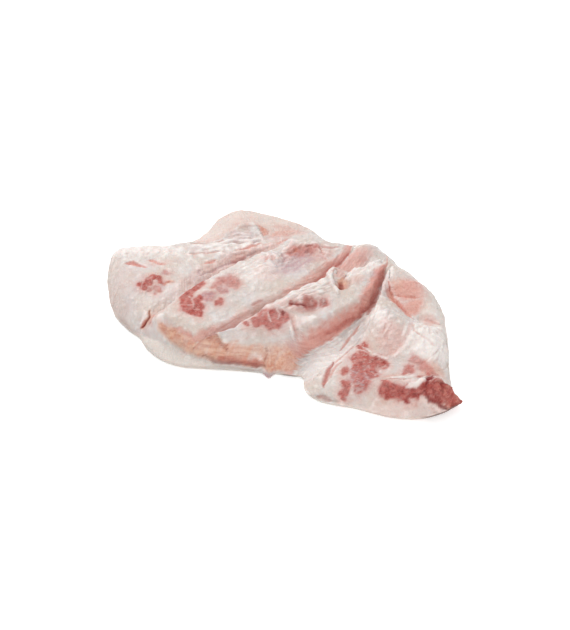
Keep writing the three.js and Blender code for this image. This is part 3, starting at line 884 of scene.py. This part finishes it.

# %% [markdown]
# ## Folds, slits and strands
# The photograph shows many single features: slits, folds of membrane, pale strands in the lean. Each is one
# row here, and gives both its tissue and its relief, so that a dark slit is also a cut. The dark colour in
# the slits and furrows is partly painted shade.

# %% Folds and slits at the left
# Each row: path, half-width, rise, tissue, strength. Strands are pale fat, which also parts the lean.
FEATURES = [
    # Left panel
    ([[-127, 53], [-122, 53], [-116, 49], [-110, 46]], 2.4, -0.6, "blush_and_shade", 1.0),
    ([[-109, 55], [-105, 54], [-101, 51], [-95, 50]], 1.9, -0.6, "blush_and_shade", 0.9),
    ([[-125, 53], [-120, 52], [-114, 48]], 1.8, -0.3, "lean", 0.3),
    ([[-94, 27], [-90, 29], [-87, 29]], 1.8, 0.4, "amber", 0.7),
    ([[-99, 20], [-97, 16]], 1.6, 0.3, "amber", 0.4),
    ([[-104, 2], [-104, -3], [-106, -5], [-108, -6], [-111, -6]], 2.2, -0.2, "amber", 0.9),
    # The dark line in the crack is painted shade
    ([[-104, 2], [-104, -3], [-106, -5], [-108, -6], [-110.5, -6]], 0.9, -1.0, "dark_red_and_shade", 0.75),
    ([[-107, -5], [-110, -6]], 1.8, -0.2, "lean", 0.6),
    ([[-108, 2], [-107, -2], [-111, -4]], 2.4, 0.5, "suet_and_highlight", 0.5),
    ([[-101, -1], [-101, -5], [-104, -7]], 1.8, 0.6, "blush_and_shade", 0.8),
    ([[-95, -14], [-89, -18]], 1.2, -0.8, "blush_and_shade", 0.5),
    # Bank of the first cut, and the membranes beyond it
    ([[-67, 38], [-56, 46], [-48, 52], [-42, 56], [-36, 58], [-31, 63], [-24, 68]], 1.3, -0.8, "film_and_shade", 0.6),
    ([[-43, 56], [-38, 59], [-32, 63]], 2.6, 0.2, "lean", 0.4),
    ([[-64, 51], [-60, 53], [-56, 56]], 1.6, -0.8, "blush_and_shade", 0.8),
    ([[-67, 44], [-68, 39]], 0.9, -0.8, "film_and_shade", 0.9),
    # A grey line under the membrane's edge: painted shadow
    ([[-51, 79], [-41, 84], [-28, 81], [-19, 86]], 1.3, -1.2, "film_and_shade", 0.5),
    ([[-52, 82], [-41, 87], [-28, 84], [-20, 88]], 1.8, 1.0, "suet_and_highlight", 0.6),
    # A pink furrow between layers of membrane: painted shade
    ([[-40, 68], [-32, 70], [-24, 76], [-18, 84]], 1.7, -1.5, "blush_and_shade", 0.9),
    ([[-44, 64], [-28, 69], [-16, 74], [-6, 80]], 1.8, 1.1, "suet_and_highlight", 0.6),
    ([[-68, 69], [-56, 73], [-44, 73]], 2.4, 1.3, "suet_and_highlight", 0.6),
    ([[-76, 63], [-64, 65], [-50, 66]], 1.4, -1.0, "blush_and_shade", 0.3),
    ([[-77, 79], [-65, 78], [-57, 81], [-51, 85]], 1.5, -1.0, "blush_and_shade", 0.5),
    ([[-47, 92], [-40, 97], [-32, 98], [-25, 98]], 1.5, -0.2, "blush_and_shade", 0.15),
    ([[-44, 91], [-38, 93], [-31, 92]], 1.3, 0.8, "suet_and_highlight", 0.5),
    ([[-43, 88], [-36, 89], [-28, 88]], 1.1, 0.7, "suet_and_highlight", 0.4),
    ([[-21, 99], [-18, 94], [-17, 90]], 1.9, -0.2, "blush_and_shade", 1.0),
    ([[-18, 98], [-15, 95], [-15, 92]], 2.2, -0.1, "blush_and_shade", 0.9),
    ([[-19, 98], [-16, 93]], 2.2, -0.2, "amber", 0.55),
    ([[-25, 99], [-22, 95], [-19, 89]], 1.3, 1.0, "suet_and_highlight", 0.9),
    ([[-10, 93], [-3, 94], [6, 97]], 4.6, -0.3, "blush_and_shade", 0.65),
    ([[-12, 79], [-6, 80], [2, 86]], 2.0, -0.8, "blush_and_shade", 0.7),
]
print(len(FEATURES), "features at the left")

# %% Folds and strands in the middle
FEATURES += [
    # Far red and the film beside it
    ([[16, 67], [24, 71]], 1.3, -1.2, "lean", 0.7),
    ([[28, 68], [31, 58]], 1.3, -1.2, "blush_and_shade", 0.7),
    ([[8, 62], [10, 61]], 2.2, -0.6, "amber", 0.9),
    ([[6, 55], [10, 50], [12, 46]], 1.2, 0.8, "strand", 0.9),
    ([[-2, 62], [4, 66], [12, 72]], 2.2, 1.3, "suet_and_highlight", 0.7),
    ([[4, 67], [7, 70], [11, 72]], 2.6, 1.6, "suet_and_highlight", 0.9),
    ([[-19, 58], [-14, 56], [-12, 51], [-13, 46]], 1.6, 1.1, "suet_and_highlight", 0.8),
    ([[-16, 53], [-14, 49], [-16, 44]], 1.3, -0.9, "blush_and_shade", 0.4),
    ([[-10, 56], [-6, 52], [-6, 46]], 1.6, 1.0, "suet_and_highlight", 0.8),
    ([[-3, 58], [0, 52], [-2, 44]], 1.5, -0.9, "film_and_shade", 0.7),
    ([[22, 66], [30, 63], [36, 60]], 1.4, 0.8, "suet_and_highlight", 0.7),
    ([[20, 60], [28, 57], [34, 52]], 1.4, -0.8, "blush_and_shade", 0.6),
    ([[28, 70], [36, 69], [44, 71]], 1.8, -0.6, "lean", 0.4),
    # Far end of the second cut, and the third panel's curled edge
    ([[22, 25], [29, 35], [36, 45], [44, 55], [51, 64]], 2.2, -0.3, "lean", 0.5),
    ([[37, 44], [44, 53], [51, 62], [55, 68]], 0.9, -0.3, "dark_red_and_shade", 0.1),
    ([[27, 24], [32, 31], [37, 38]], 2.6, 2.2, "suet_and_highlight", 0.8),
    ([[34, 33], [37, 38]], 1.8, 2.2, "suet_and_highlight", 0.9),
    ([[37, 38], [35, 27], [36, 17], [39, 9], [40, 3]], 2.2, 1.8, "suet_and_highlight", 0.7),
    # The pit beside the curled edge is browner and redder as painted shade in its hollow
    ([[45, 29], [44, 20], [43, 10]], 4.6, -0.8, "amber", 0.9),
    ([[44, 25], [43, 16], [42, 9]], 2.8, -0.6, "lean", 0.55),
    ([[44, 23], [43, 17]], 1.8, -0.6, "dark_red_and_shade", 0.5),
    ([[46, 32], [53, 35], [60, 38], [67, 43], [75, 50]], 2.6, 1.6, "suet_and_highlight", 0.8),
    # Groove and lean of the third panel
    ([[4, -11], [11, -10], [16, -9]], 1.1, -1.3, "dark_red_and_shade", 0.5),
    ([[13, -5], [20, -1], [27, -2], [31, -7]], 1.6, 1.3, "suet_and_highlight", 0.7),
    ([[25, -3], [25, -7], [24, -10]], 1.0, 0.6, "strand", 0.7),
    ([[29, -3], [29, -6], [28, -9]], 0.9, 0.5, "strand", 0.6),
    ([[20, -4], [20, -8]], 0.8, 0.5, "strand", 0.5),
    ([[2, -20], [4, -29], [6, -37]], 1.4, 0.9, "suet_and_highlight", 0.8),
    ([[8, -21], [10, -27], [12, -33]], 1.2, 0.8, "suet_and_highlight", 0.6),
    ([[5, -22], [7, -29], [9, -36]], 1.2, -0.7, "blush_and_shade", 0.5),
    ([[-25, -2], [-22, 0], [-17, 3]], 1.2, -0.6, "lean", 0.3),
    ([[-13, -17], [-12, -23], [-10, -28]], 0.9, 0.8, "strand", 0.75),
    ([[-8, -16], [-4, -19], [-5, -25]], 0.9, 0.8, "strand", 0.75),
    ([[-18, -14], [-16, -18], [-18, -22]], 0.7, 0.5, "strand", 0.2),
    ([[-15, -13], [-10, -13], [-5, -14]], 1.8, 0.6, "suet_and_highlight", 0.6),
    ([[-1, -17], [-2, -22]], 0.9, -1.0, "dark_red_and_shade", 0.6),
    # Lean of the second panel
    ([[-71, 3], [-70, -2], [-69, -8]], 0.9, 0.5, "strand", 0.5),
    ([[-76, -4], [-72, -5], [-68, -4]], 0.8, 0.4, "strand", 0.4),
    ([[-74, 6], [-72, 4]], 1.3, 0.5, "strand", 0.6),
    ([[-68, -8], [-65, -9]], 1.0, 0.4, "strand", 0.5),
]
print(len(FEATURES), "features up to the third cut")

# %% Folds and strands at the right, and on the near wall
FEATURES += [
    # Third cut: its far end, its floor and its foot
    ([[79, 44], [74, 31], [68, 14], [63, 2], [57, -7]], 6.4, 0.0, "blush_and_shade", 1.0),
    ([[79, 41], [76, 31], [71.5, 14], [67, 2], [62.5, -7]], 3.6, -0.3, "lean", 0.45),
    ([[86, 44], [83, 32], [79, 18]], 3.0, 0.6, "suet_and_highlight", 0.8),
    ([[74, 20], [69, 9], [64, 0], [57, -7], [50, -12], [40, -19], [30, -26]], 1.8, -0.5, "lean", 0.6),
    ([[56, -16], [49, -25], [41, -35]], 1.5, -0.7, "blush_and_shade", 0.7),
    ([[41, -51], [35, -58], [33, -66]], 1.6, -0.7, "blush_and_shade", 0.6),
    ([[36, -48], [32, -56], [30, -65], [28, -73]], 2.4, -1.0, "lean", 0.75),
    ([[52, -33], [46, -40], [40, -47], [36, -52]], 1.3, -0.6, "blush_and_shade", 0.6),
    # Dome, muscles and the fold at the right
    ([[94, -23], [92, -34], [87, -44], [81, -50], [74, -53]], 2.6, -0.7, "blush_and_shade", 0.25),
    ([[97, -30], [94, -40], [88, -48], [81, -54]], 3.0, 0.5, "suet_and_highlight", 0.6),
    # A thin dark line under the ridge between the muscle's lobes: painted shade
    ([[85, 17], [90, 14], [97, 12], [104, 9]], 0.9, -0.9, "lean", 0.2),
    ([[83, 27], [83, 14], [88, 6], [93, -3], [96, -13]], 3.0, -0.5, "blush_and_shade", 1.0),
    ([[84, 20], [84, 13], [89, 5]], 1.6, -0.5, "amber", 0.6),
    ([[83, 24], [84.5, 14], [88.5, 5], [93, -3]], 1.1, -0.8, "lean", 0.45),
    # A thin dark line under the fold's lip: painted shadow
    ([[105, -11], [109, -12.5], [114, -14.5], [119, -15.5]], 1.1, -0.6, "lean", 0.22),
    ([[97, -21], [103, -18], [108, -21], [118, -22]], 2.4, 1.8, "suet_and_highlight", 1.0),
    ([[95, -23], [96, -34], [100, -38]], 1.2, -0.8, "blush_and_shade", 0.4),
    ([[100, -38], [106, -42], [111, -48]], 1.2, -0.4, "blush_and_shade", 0.15),
    # Band, lens of fat and tip
    ([[72, -76], [80, -79], [88, -82]], 1.2, -1.0, "lean", 0.5),
    ([[76, -75], [86, -76], [94, -77]], 2.4, 0.3, "strand", 0.6),
    ([[87, -87], [94, -86], [100, -85]], 1.9, 0.9, "strand", 0.9),
    ([[85, -83], [92, -81], [98, -79]], 0.8, -1.0, "lean", 0.5),
    ([[69, -77], [78, -84], [86, -88], [98, -90]], 1.6, 1.0, "lean", 0.9),
    # The dark crack and hole between the band and the tip are partly painted shade
    ([[101, -89], [102, -85], [104, -81]], 1.3, -1.2, "dark_red_and_shade", 0.9),
    ([[101, -84], [103, -81], [104, -78]], 2.8, -0.9, "dark_red_and_shade", 1.0),
    ([[102, -85], [104, -81], [106, -78]], 3.0, -0.3, "dark_red_and_shade", 0.95),
    ([[98, -90], [103, -94], [108, -94], [113, -95], [118, -95]], 1.2, -1.5, "dark_red_and_shade", 0.7),
    ([[106, -96], [111, -97], [116, -96]], 1.5, 1.0, "blush_and_shade", 0.3),
    ([[95, -60], [99, -65], [103, -71], [106, -77]], 2.6, 0.6, "lean", 0.55),
    ([[98, -61], [103, -67], [108, -75]], 5.0, 0.3, "blush_and_shade", 0.6),
    ([[107, -91], [112, -92], [117, -93]], 1.0, 0.6, "strand", 0.25),
    ([[106, -86], [110, -84], [114, -84]], 1.0, 0.7, "strand", 0.3),
    ([[114, -83], [112, -87], [113, -91]], 0.9, -1.1, "dark_red_and_shade", 0.6),
    ([[105, -89], [108, -92], [112, -93]], 0.9, -1.0, "dark_red_and_shade", 0.6),
    ([[114, -86], [117, -85], [121, -86]], 1.3, 0.6, "strand", 0.15),
    # Granular lean
    ([[54, -43], [58, -46], [61, -49]], 0.8, 0.5, "strand", 0.8),
    ([[57, -41], [61, -45], [64, -49]], 0.8, 0.5, "strand", 0.7),
    ([[64, -50], [70, -53], [76, -55]], 1.2, 0.6, "strand", 0.8),
    ([[58, -67], [60, -71], [58, -74]], 0.9, 0.6, "strand", 0.8),
    ([[52, -73], [55, -77], [57, -74]], 0.8, 0.5, "strand", 0.7),
    ([[64, -70], [68, -68], [70, -64]], 1.0, 0.5, "strand", 0.7),
    # Near wall
    ([[-86, -19], [-80, -22], [-75, -25], [-70, -29]], 1.5, -0.9, "blush_and_shade", 0.7),
    ([[-47, -31], [-54, -32], [-61, -32.5], [-69, -33.5]], 1.2, 0.2, "lean", 0.35),
    # Dark red under the near end of the second cut's lip and along the foot of the wall: painted shadow
    ([[-58, -33], [-53, -33], [-47, -37], [-43, -40]], 1.0, -0.8, "dark_red_and_shade", 0.3),
    ([[-43, -37.5], [-43, -40]], 0.6, -1.1, "dark_red_and_shade", 0.6),
    ([[-14, -41], [-14, -44], [-15, -48]], 0.7, -0.6, "dark_red_and_shade", 0.3),
    ([[-50, -41], [-40, -43], [-31, -45], [-22, -46], [-15, -47]], 1.8, -0.5, "lean", 0.5),
    ([[-62, -38], [-50, -42], [-40, -44], [-31, -46], [-22, -47], [-15, -48]], 0.8, -0.9, "dark_red_and_shade", 0.4),
    ([[-28, -44], [-22, -44], [-17, -45]], 1.5, 0.3, "strand", 0.4),
    ([[23, -78], [34, -83]], 1.8, -0.6, "lean", 0.3),
    # The near edge's dark brown here is partly painted shade, and the line down the tag is a brown streak
    ([[19, -77], [28, -80], [38, -84]], 2.6, 0.0, "brown_and_shade", 0.28),
    ([[-12, -49], [-12, -57]], 4.0, 0.0, "brown_and_shade", 0.2),
    # Painted shade dulls the lit top of the nub
    ([[-95, -12], [-93, -12]], 3.4, 0.0, "brown_and_shade", 0.09),
]
print(len(FEATURES), "features in all")

# %% Lay the features
# How far a strand parts each tissue that it runs through
STRANDS_PART = {"lean": 0.85, "blush_and_shade": 0.6, "amber": 1.0}

strand_mask = np.zeros(len(X))
for path, width, rise, tissue, strength in FEATURES:
    mask = stroke(path, width) * is_top
    relief += rise * mask
    if tissue == "strand":
        strand_mask = np.maximum(strand_mask, strength * mask)
    else:
        lay(tissue, strength * mask)
for tissue, parted in STRANDS_PART.items():
    masks[tissue] *= 1 - parted * strand_mask
lay("suet_and_highlight", strand_mask)
print("relief of the features from", relief.min().round(2), "to", relief.max().round(2), "mm")

# %% [markdown]
# ## Relief
# Fat has soft lobes and wrinkles, the banks have fibres along the cut, and lean is grainy. These are low,
# from a quarter of a millimetre to two, but they catch the light. Each point is moved along its own normal,
# and the move fades out down the wall, so that the slab keeps its flat underside. Sculpting would do the same
# by hand, but it could not be worked out again when a size changes.

# %% Relief of the tissues
# Each lumpy place: x, y, half-length, half-width, turn, height of the lumps
LUMPY = [
    (-112, 66, 34, 9, 0, 1.0), (14, 64, 22, 9, 20, 1.7), (18, 2, 26, 9, 38, 2.0), (76, -28, 24, 14, 112, 0.6),
    (-36, 88, 20, 8, 0, 0.8), (60, 40, 24, 9, 35, 1.2), (-40, 72, 36, 10, 8, 0.8), (108, -30, 14, 10, 0, 0.8),
    (0, 48, 18, 12, 40, 1.0), (-5, -13, 13, 4, 20, 1.8), (-22, 38, 22, 10, 40, 0.6),
    (106, -52, 14, 18, 0, 0.6),
]
# Heights in millimetres
HEIGHTS = {"lobes": 0.9, "small lobes": 0.5, "wrinkles": 1.2, "creases": 0.7, "bank fibres": 0.45,
           "lean grain": 0.5, "lips": 1.2, "dome arcs": 0.7, "floor streaks": 0.5}

# Large and small lobes of the fat, then rounded wrinkles and thin creases along the cuts
relief += HEIGHTS["lobes"] * cloud(14, 3, seed=5.5) + HEIGHTS["small lobes"] * cloud(5, 2, seed=1.2)
wrinkled = 0.25 * smooth(0.55 + wide_fray)
for row in LUMPY:
    wrinkled = np.maximum(wrinkled, oval(X, Y, row))
relief += HEIGHTS["wrinkles"] * (0.5 - np.abs(strands(26, 5, seed=2.6))) * wrinkled
relief -= HEIGHTS["creases"] * np.exp(-(strands(34, 9, seed=12.9) / 0.07) ** 2) * wrinkled
# Fibres of the banks, which are weaker on the smooth pad at the far side
FAR_PAD = (54, 50, 20, 10, 40)
off_pad = 1 - 0.7 * oval(X, Y, FAR_PAD)
relief += HEIGHTS["bank fibres"] * strands(16, 1.9, seed=7.7) * on_bank * off_pad
# Grain of the lean, with its flecks sunk in, and the uneven lips
relief += HEIGHTS["lean grain"] * lean_area * (cloud(2.6, 2, seed=17.1) + cloud(5, 2, seed=27.1) - flecks)
relief += HEIGHTS["lips"] * cloud(6, 2, seed=11.4) * at_lip
# The dome's skin is gathered in fine arcs round its near right foot
DOME = (76, -30, 20, 12, 112)
DOME_FOOT = (88, -50)
arc_radius = np.hypot(X - DOME_FOOT[0], Y - DOME_FOOT[1])
arc_turn = np.arctan2(Y - DOME_FOOT[1], X - DOME_FOOT[0])
arcs = noise_at(np.stack([arc_radius / 2.4, arc_turn * 3, 0 * X], -1), 2)
relief += HEIGHTS["dome arcs"] * arcs * oval(X, Y, DOME)
# The floor of the third cut is streaked
on_floor = ramp(CLIMB, 0.7, 0.55) * (CLIMB >= 0) * (PANEL == THIRD_PANEL) * is_top
relief += HEIGHTS["floor streaks"] * strands(16, 2.2, seed=6.1) * on_floor
print("relief from", relief.min().round(2), "to", relief.max().round(2), "mm")

# %% Lumps and single forms
# Each lump: x, y, half-length, half-width, turn, rise
LUMPS = [
    (-94, -12, 3, 2.4, 0, 2.2), (43, 29, 4, 3, 20, 1.0), (95, 19, 12, 9, 160, 1.8), (97, 2, 8, 7, 140, 1.6),
    (-13, -11, 3.6, 2.6, 30, 1.6), (-6, -14, 4, 2.6, 30, 1.4), (0, -12, 4.5, 2.6, 30, 1.3),
    (18, -6, 5, 3, 30, -1.4), (4, 79, 4.5, 3, 20, 1.5), (-62, -3, 5, 3, 40, 0.6),
]
# The membrane on the flap ends in a step, along this path
NOTCH = [[-24, 99], [-21, 95], [-18, 88]]
NOTCH_STEP = 1.4
NOTCH_WIDTH = 5
FRINGE_WIDTH = 2.4

lumps = cloud(6.5, 2, seed=8.3) + 0.6 * (0.5 - 1.6 * np.abs(strands(14, 3.4, seed=4.4)))
for row in LUMPY:
    relief += row[5] * oval(X, Y, row) * lumps
for row in LUMPS:
    relief += row[5] * oval(X, Y, row)
notch_gap, notch_side, _ = path_place(NOTCH, X, Y)
relief += NOTCH_STEP * np.exp(-(notch_gap / NOTCH_WIDTH) ** 2) * (notch_side < 0)
at_foot = np.exp(-((up_bank - 0.02) / 0.2) ** 2) * (PANEL == THIRD_PANEL) * is_top
fringe = at_foot * window(ALONG, 0.08, 0.34, 0.1)
relief += fringe * noise_at(np.stack([WAY_ALONG / FRINGE_WIDTH, up_bank, PANEL], -1), 2)
relief *= 1 - smooth(DOWN)
print("relief from", relief.min().round(2), "to", relief.max().round(2), "mm")

# %% Painted highlight on ridges and painted shade in creases
# Ridges of the relief get a painted highlight in the suet's white, and creases a painted shade in the blush's
# pink.
CREASE_CELLS = 4
RIDGE_HEIGHT = 0.5
kernel = np.hanning(2 * CREASE_CELLS + 3)[1:-1]
around = relief[:TOP_COUNT].reshape(COLUMNS, ROWS)
for axis in (0, 1):
    around = np.apply_along_axis(np.convolve, axis, around, kernel / kernel.sum(), "same")
ridge = np.zeros(len(X))
ridge[:TOP_COUNT] = relief[:TOP_COUNT] - around.ravel()
masks["suet_and_highlight"] += 0.9 * ramp(ridge, 0, RIDGE_HEIGHT)
masks["blush_and_shade"] += 0.2 * ramp(ridge, 0, -RIDGE_HEIGHT)
print("ridges from", ridge.min().round(2), "to", ridge.max().round(2), "mm")

# %% Keep the masks in the mesh
# Fibres are drawn out along the cuts by this share. On the last panel and the flap they have no one way.
FIBRE_SHARE = 0.09
# The amber has level streaks on the near wall, up to this x. Further right it is blotched.
WALL_STREAK_SHARE = 0.14
STREAKS_END = -17


def keep(name, kind, field, values):
    """Keeps values in the mesh, one for each point."""
    mesh.attributes.new(name, kind, "POINT").data.foreach_set(field, values.astype(np.float32).ravel())


for name in TISSUES:
    keep(name, "FLOAT", "value", np.clip(masks[name], 0, 1))
    print(f"{name}: mean {masks[name][is_top].mean():.2f} on the top")
no_way = (PANEL == PANELS - 1) | (past_edge > 0)
lengthways, crossways = np.where(no_way, (X / FIBRE_SHARE, Y), (WAY_ALONG, FROM_LIP))
layer = np.where(no_way, PANELS - 1, PANEL) * PANEL_STEP
keep("fibre_way", "FLOAT_VECTOR", "vector", np.stack([lengthways, crossways, layer], -1) * MM)
streaks = points[:, :3] * MM
streaks[:, 0] /= np.where(X < STREAKS_END, 1, WALL_STREAK_SHARE)
keep("streak_way", "FLOAT_VECTOR", "vector", streaks)

# %% Move the points
normals = np.zeros(len(points) * 3, np.float32)
mesh.vertex_normals.foreach_get("vector", normals)
moved = points[:, :3] + shift + relief[:, None] * normals.reshape(-1, 3)
# The peak beside the far end of the third cut leans over it
PEAK = (80, 24, 24, 9, 74)
PEAK_LEAN = 2.6
moved[:, 0] -= PEAK_LEAN * oval(X, Y, PEAK) * is_top
# A tag of skin stands out of the near edge
TAG = (-12, -52, 3.2, 6, 0)
TAG_REACH = 5.5
TAG_TOP = 9
moved[:, 1] -= TAG_REACH * oval(X, Y, TAG) * (Z < TAG_TOP) * window(DOWN, -1, 0.8, 0.3)
moved[:, 2] = np.maximum(moved[:, 2], 0)
mesh.vertices.foreach_set("co", (moved * MM).astype(np.float32).ravel())
mesh.shade_smooth()
mesh.update()
print("top of the meat at", moved[:, 2].max().round(1), "mm")

# %% [markdown]
# ## The meat's material
# One shader covers the slab. Its colour starts as cream fat and each mask mixes in the next tissue, with
# colours chosen for each. Fine noise breaks the colours up between the points of the mesh. Fat lets light in,
# so a little subsurface scattering softens the shade, and the wet surface has a soft gloss.

# %% Helpers for nodes
meat = bpy.data.materials.new("raw_pork")
meat.use_nodes = True
tree = meat.node_tree
shader = tree.nodes["Principled BSDF"]
object_places = tree.nodes.new("ShaderNodeTexCoord").outputs["Object"]


def put(value, socket):
    """Sets a socket from another socket, from a number, or from red, green and blue."""
    if isinstance(value, bpy.types.NodeSocket):
        tree.links.new(value, socket)
    else:
        socket.default_value = value + (1,) if isinstance(value, tuple) and len(value) == 3 else value


def spread(value, low, high):
    """A value from low to high, spread from 0 to 1."""
    node = tree.nodes.new("ShaderNodeMapRange")
    put(value, node.inputs["Value"])
    put(low, node.inputs["From Min"])
    put(high, node.inputs["From Max"])
    return node.outputs["Result"]


NOISE_LOW, NOISE_HIGH = 0.35, 0.65
CELL_BORDER = 0.2


def fine_noise(size, detail, places=object_places):
    """Noise in lumps of that size in millimetres, spread from 0 to 1."""
    node = tree.nodes.new("ShaderNodeTexNoise")
    put(places, node.inputs["Vector"])
    put(1 / (size * MM), node.inputs["Scale"])
    put(detail, node.inputs["Detail"])
    return spread(node.outputs["Fac"], NOISE_LOW, NOISE_HIGH)


def fine_cells(size):
    """Cells of that size in millimetres: 0 on their borders, rising to 1 inside."""
    node = tree.nodes.new("ShaderNodeTexVoronoi")
    node.feature = "DISTANCE_TO_EDGE"
    put(object_places, node.inputs["Vector"])
    put(1 / (size * MM), node.inputs["Scale"])
    return spread(node.outputs["Distance"], 0.0, CELL_BORDER)


def from_mesh(name, output="Fac"):
    """A mask or a place that is kept in the mesh."""
    node = tree.nodes.new("ShaderNodeAttribute")
    node.attribute_name = name
    return node.outputs[output]


def arithmetic(operation, *values):
    """A Math node. Each input is a socket or a number."""
    node = tree.nodes.new("ShaderNodeMath")
    node.operation = operation
    for socket, value in zip(node.inputs, values):
        put(value, socket)
    return node.outputs["Value"]


def part_of(value, share):
    """A share of a value."""
    return arithmetic("MULTIPLY", value, share)


def drawn_out(places, share):
    """Places squeezed along their first direction, so that noise on them comes out as strands."""
    node = tree.nodes.new("ShaderNodeMapping")
    node.inputs["Scale"].default_value = (share, 1, 1)
    put(places, node.inputs["Vector"])
    return node.outputs["Vector"]


def blend(amount, under, over):
    """A colour mixed over another by an amount. Each colour is a socket or red, green and blue."""
    node = tree.nodes.new("ShaderNodeMix")
    node.data_type = "RGBA"
    put(amount, node.inputs["Factor"])
    for socket, value in zip([s for s in node.inputs if s.type == "RGBA"], (under, over)):
        put(value, socket)
    return [s for s in node.outputs if s.type == "RGBA"][0]


def tone(red, green, blue):
    """A colour as a screen shows it, from 0 to 255, turned into the shader's linear light."""
    return tuple(((v / 255 + 0.055) / 1.055) ** 2.4 for v in (red, green, blue))


print("helpers ready")

# %% Colours of the tissues
# Most tissues vary between two tones, the first where their noise is low and the second where it is high
FAT = tone(204, 191, 181), tone(209, 204, 202)
FAT_FRECKLE = tone(211, 188, 180)
# The suet's white also paints the highlights on the ridges and lips
SUET_AND_HIGHLIGHT = tone(240, 233, 229)
RIND = tone(208, 204, 199), tone(226, 217, 208)
RIND_SPECK = tone(203, 190, 180)
# The blush's pink also paints shade in the creases and in furrows between layers
BLUSH_AND_SHADE = tone(206, 144, 133), tone(219, 166, 154)
# The film's grey also paints shade under a membrane's edge and over the left end
FILM_AND_SHADE = tone(189, 158, 160)
AMBER = tone(203, 142, 120), tone(224, 181, 157)
LEAN = tone(162, 63, 53), tone(192, 98, 87)
LEAN_SPECK = tone(216, 154, 146)
# This brown is painted shade under the tip, along the lower edges, at the left end and on the nub, and also a
# brown streak on the tag
BROWN_AND_SHADE = tone(112, 84, 76)
# This dark red is the darkest lean, and also painted shade in the crack, the pit, the slits and along the
# wall's foot
DARK_RED_AND_SHADE = tone(132, 28, 30)
# How much of each speckle shows, and how far the suet, with its painted highlights, covers the fat
FRECKLE_SHARE = 0.3
RIND_SPECK_SHARE = 0.25
LEAN_SPECK_SHARE = 0.16
SUET_AND_HIGHLIGHT_COVER = 0.85

fibre = fine_noise(1.4, 3, places=drawn_out(from_mesh("fibre_way", "Vector"), FIBRE_SHARE))
wall_streak = fine_noise(2.4, 3, places=drawn_out(from_mesh("streak_way", "Vector"), WALL_STREAK_SHARE))
mottle = fine_noise(22, 4)
freckle = fine_noise(3.0, 3)
speck = fine_noise(1.1, 2)

skin = blend(part_of(speck, RIND_SPECK_SHARE), blend(mottle, *RIND), RIND_SPECK)
red_meat = blend(part_of(speck, LEAN_SPECK_SHARE), blend(freckle, *LEAN), LEAN_SPECK)
colour = blend(part_of(freckle, FRECKLE_SHARE), blend(mottle, *FAT), FAT_FRECKLE)
colour = blend(part_of(from_mesh("suet_and_highlight"), SUET_AND_HIGHLIGHT_COVER), colour, SUET_AND_HIGHLIGHT)
colour = blend(from_mesh("rind"), colour, skin)
colour = blend(from_mesh("blush_and_shade"), colour, blend(fibre, *BLUSH_AND_SHADE))
colour = blend(from_mesh("film_and_shade"), colour, FILM_AND_SHADE)
colour = blend(from_mesh("amber"), colour, blend(wall_streak, *AMBER))
colour = blend(from_mesh("lean"), colour, red_meat)
colour = blend(from_mesh("brown_and_shade"), colour, BROWN_AND_SHADE)
colour = blend(from_mesh("dark_red_and_shade"), colour, DARK_RED_AND_SHADE)
put(colour, shader.inputs["Base Color"])
print(len(tree.nodes), "nodes so far")

# %% Gloss, translucency and fine bumps
WET_SURFACE = {"IOR": 1.4, "Specular IOR Level": 0.45, "Subsurface Weight": 0.2,
               "Subsurface Radius": (1.0, 0.5, 0.35), "Subsurface Scale": 2.5 * MM}
WETTEST_ROUGHNESS = 0.26
ROUGHNESS_RANGE = 0.22
BUMP = {"Strength": 0.6, "Distance": 0.6 * MM}

wetness = fine_noise(9, 2)
put(arithmetic("MULTIPLY_ADD", wetness, ROUGHNESS_RANGE, WETTEST_ROUGHNESS), shader.inputs["Roughness"])
set_inputs(shader, WET_SURFACE)

pores = part_of(fine_cells(1.6), from_mesh("rind"))
meat_grain = part_of(fine_cells(1.8), from_mesh("lean"))
strand_bump = part_of(fibre, arithmetic("MULTIPLY_ADD", from_mesh("blush_and_shade"), 0.8, 0.3))
grainy = arithmetic("MULTIPLY_ADD", speck, 0.5, freckle)
bump = tree.nodes.new("ShaderNodeBump")
set_inputs(bump, BUMP)
put(arithmetic("ADD", arithmetic("ADD", grainy, strand_bump), arithmetic("ADD", pores, meat_grain)),
    bump.inputs["Height"])
put(bump.outputs["Normal"], shader.inputs["Normal"])
mesh.materials.append(meat)
print(len(tree.nodes), "nodes in", meat.name)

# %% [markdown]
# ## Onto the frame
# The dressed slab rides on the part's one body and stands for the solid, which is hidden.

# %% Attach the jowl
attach(jowl, "root")
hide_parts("jowl")
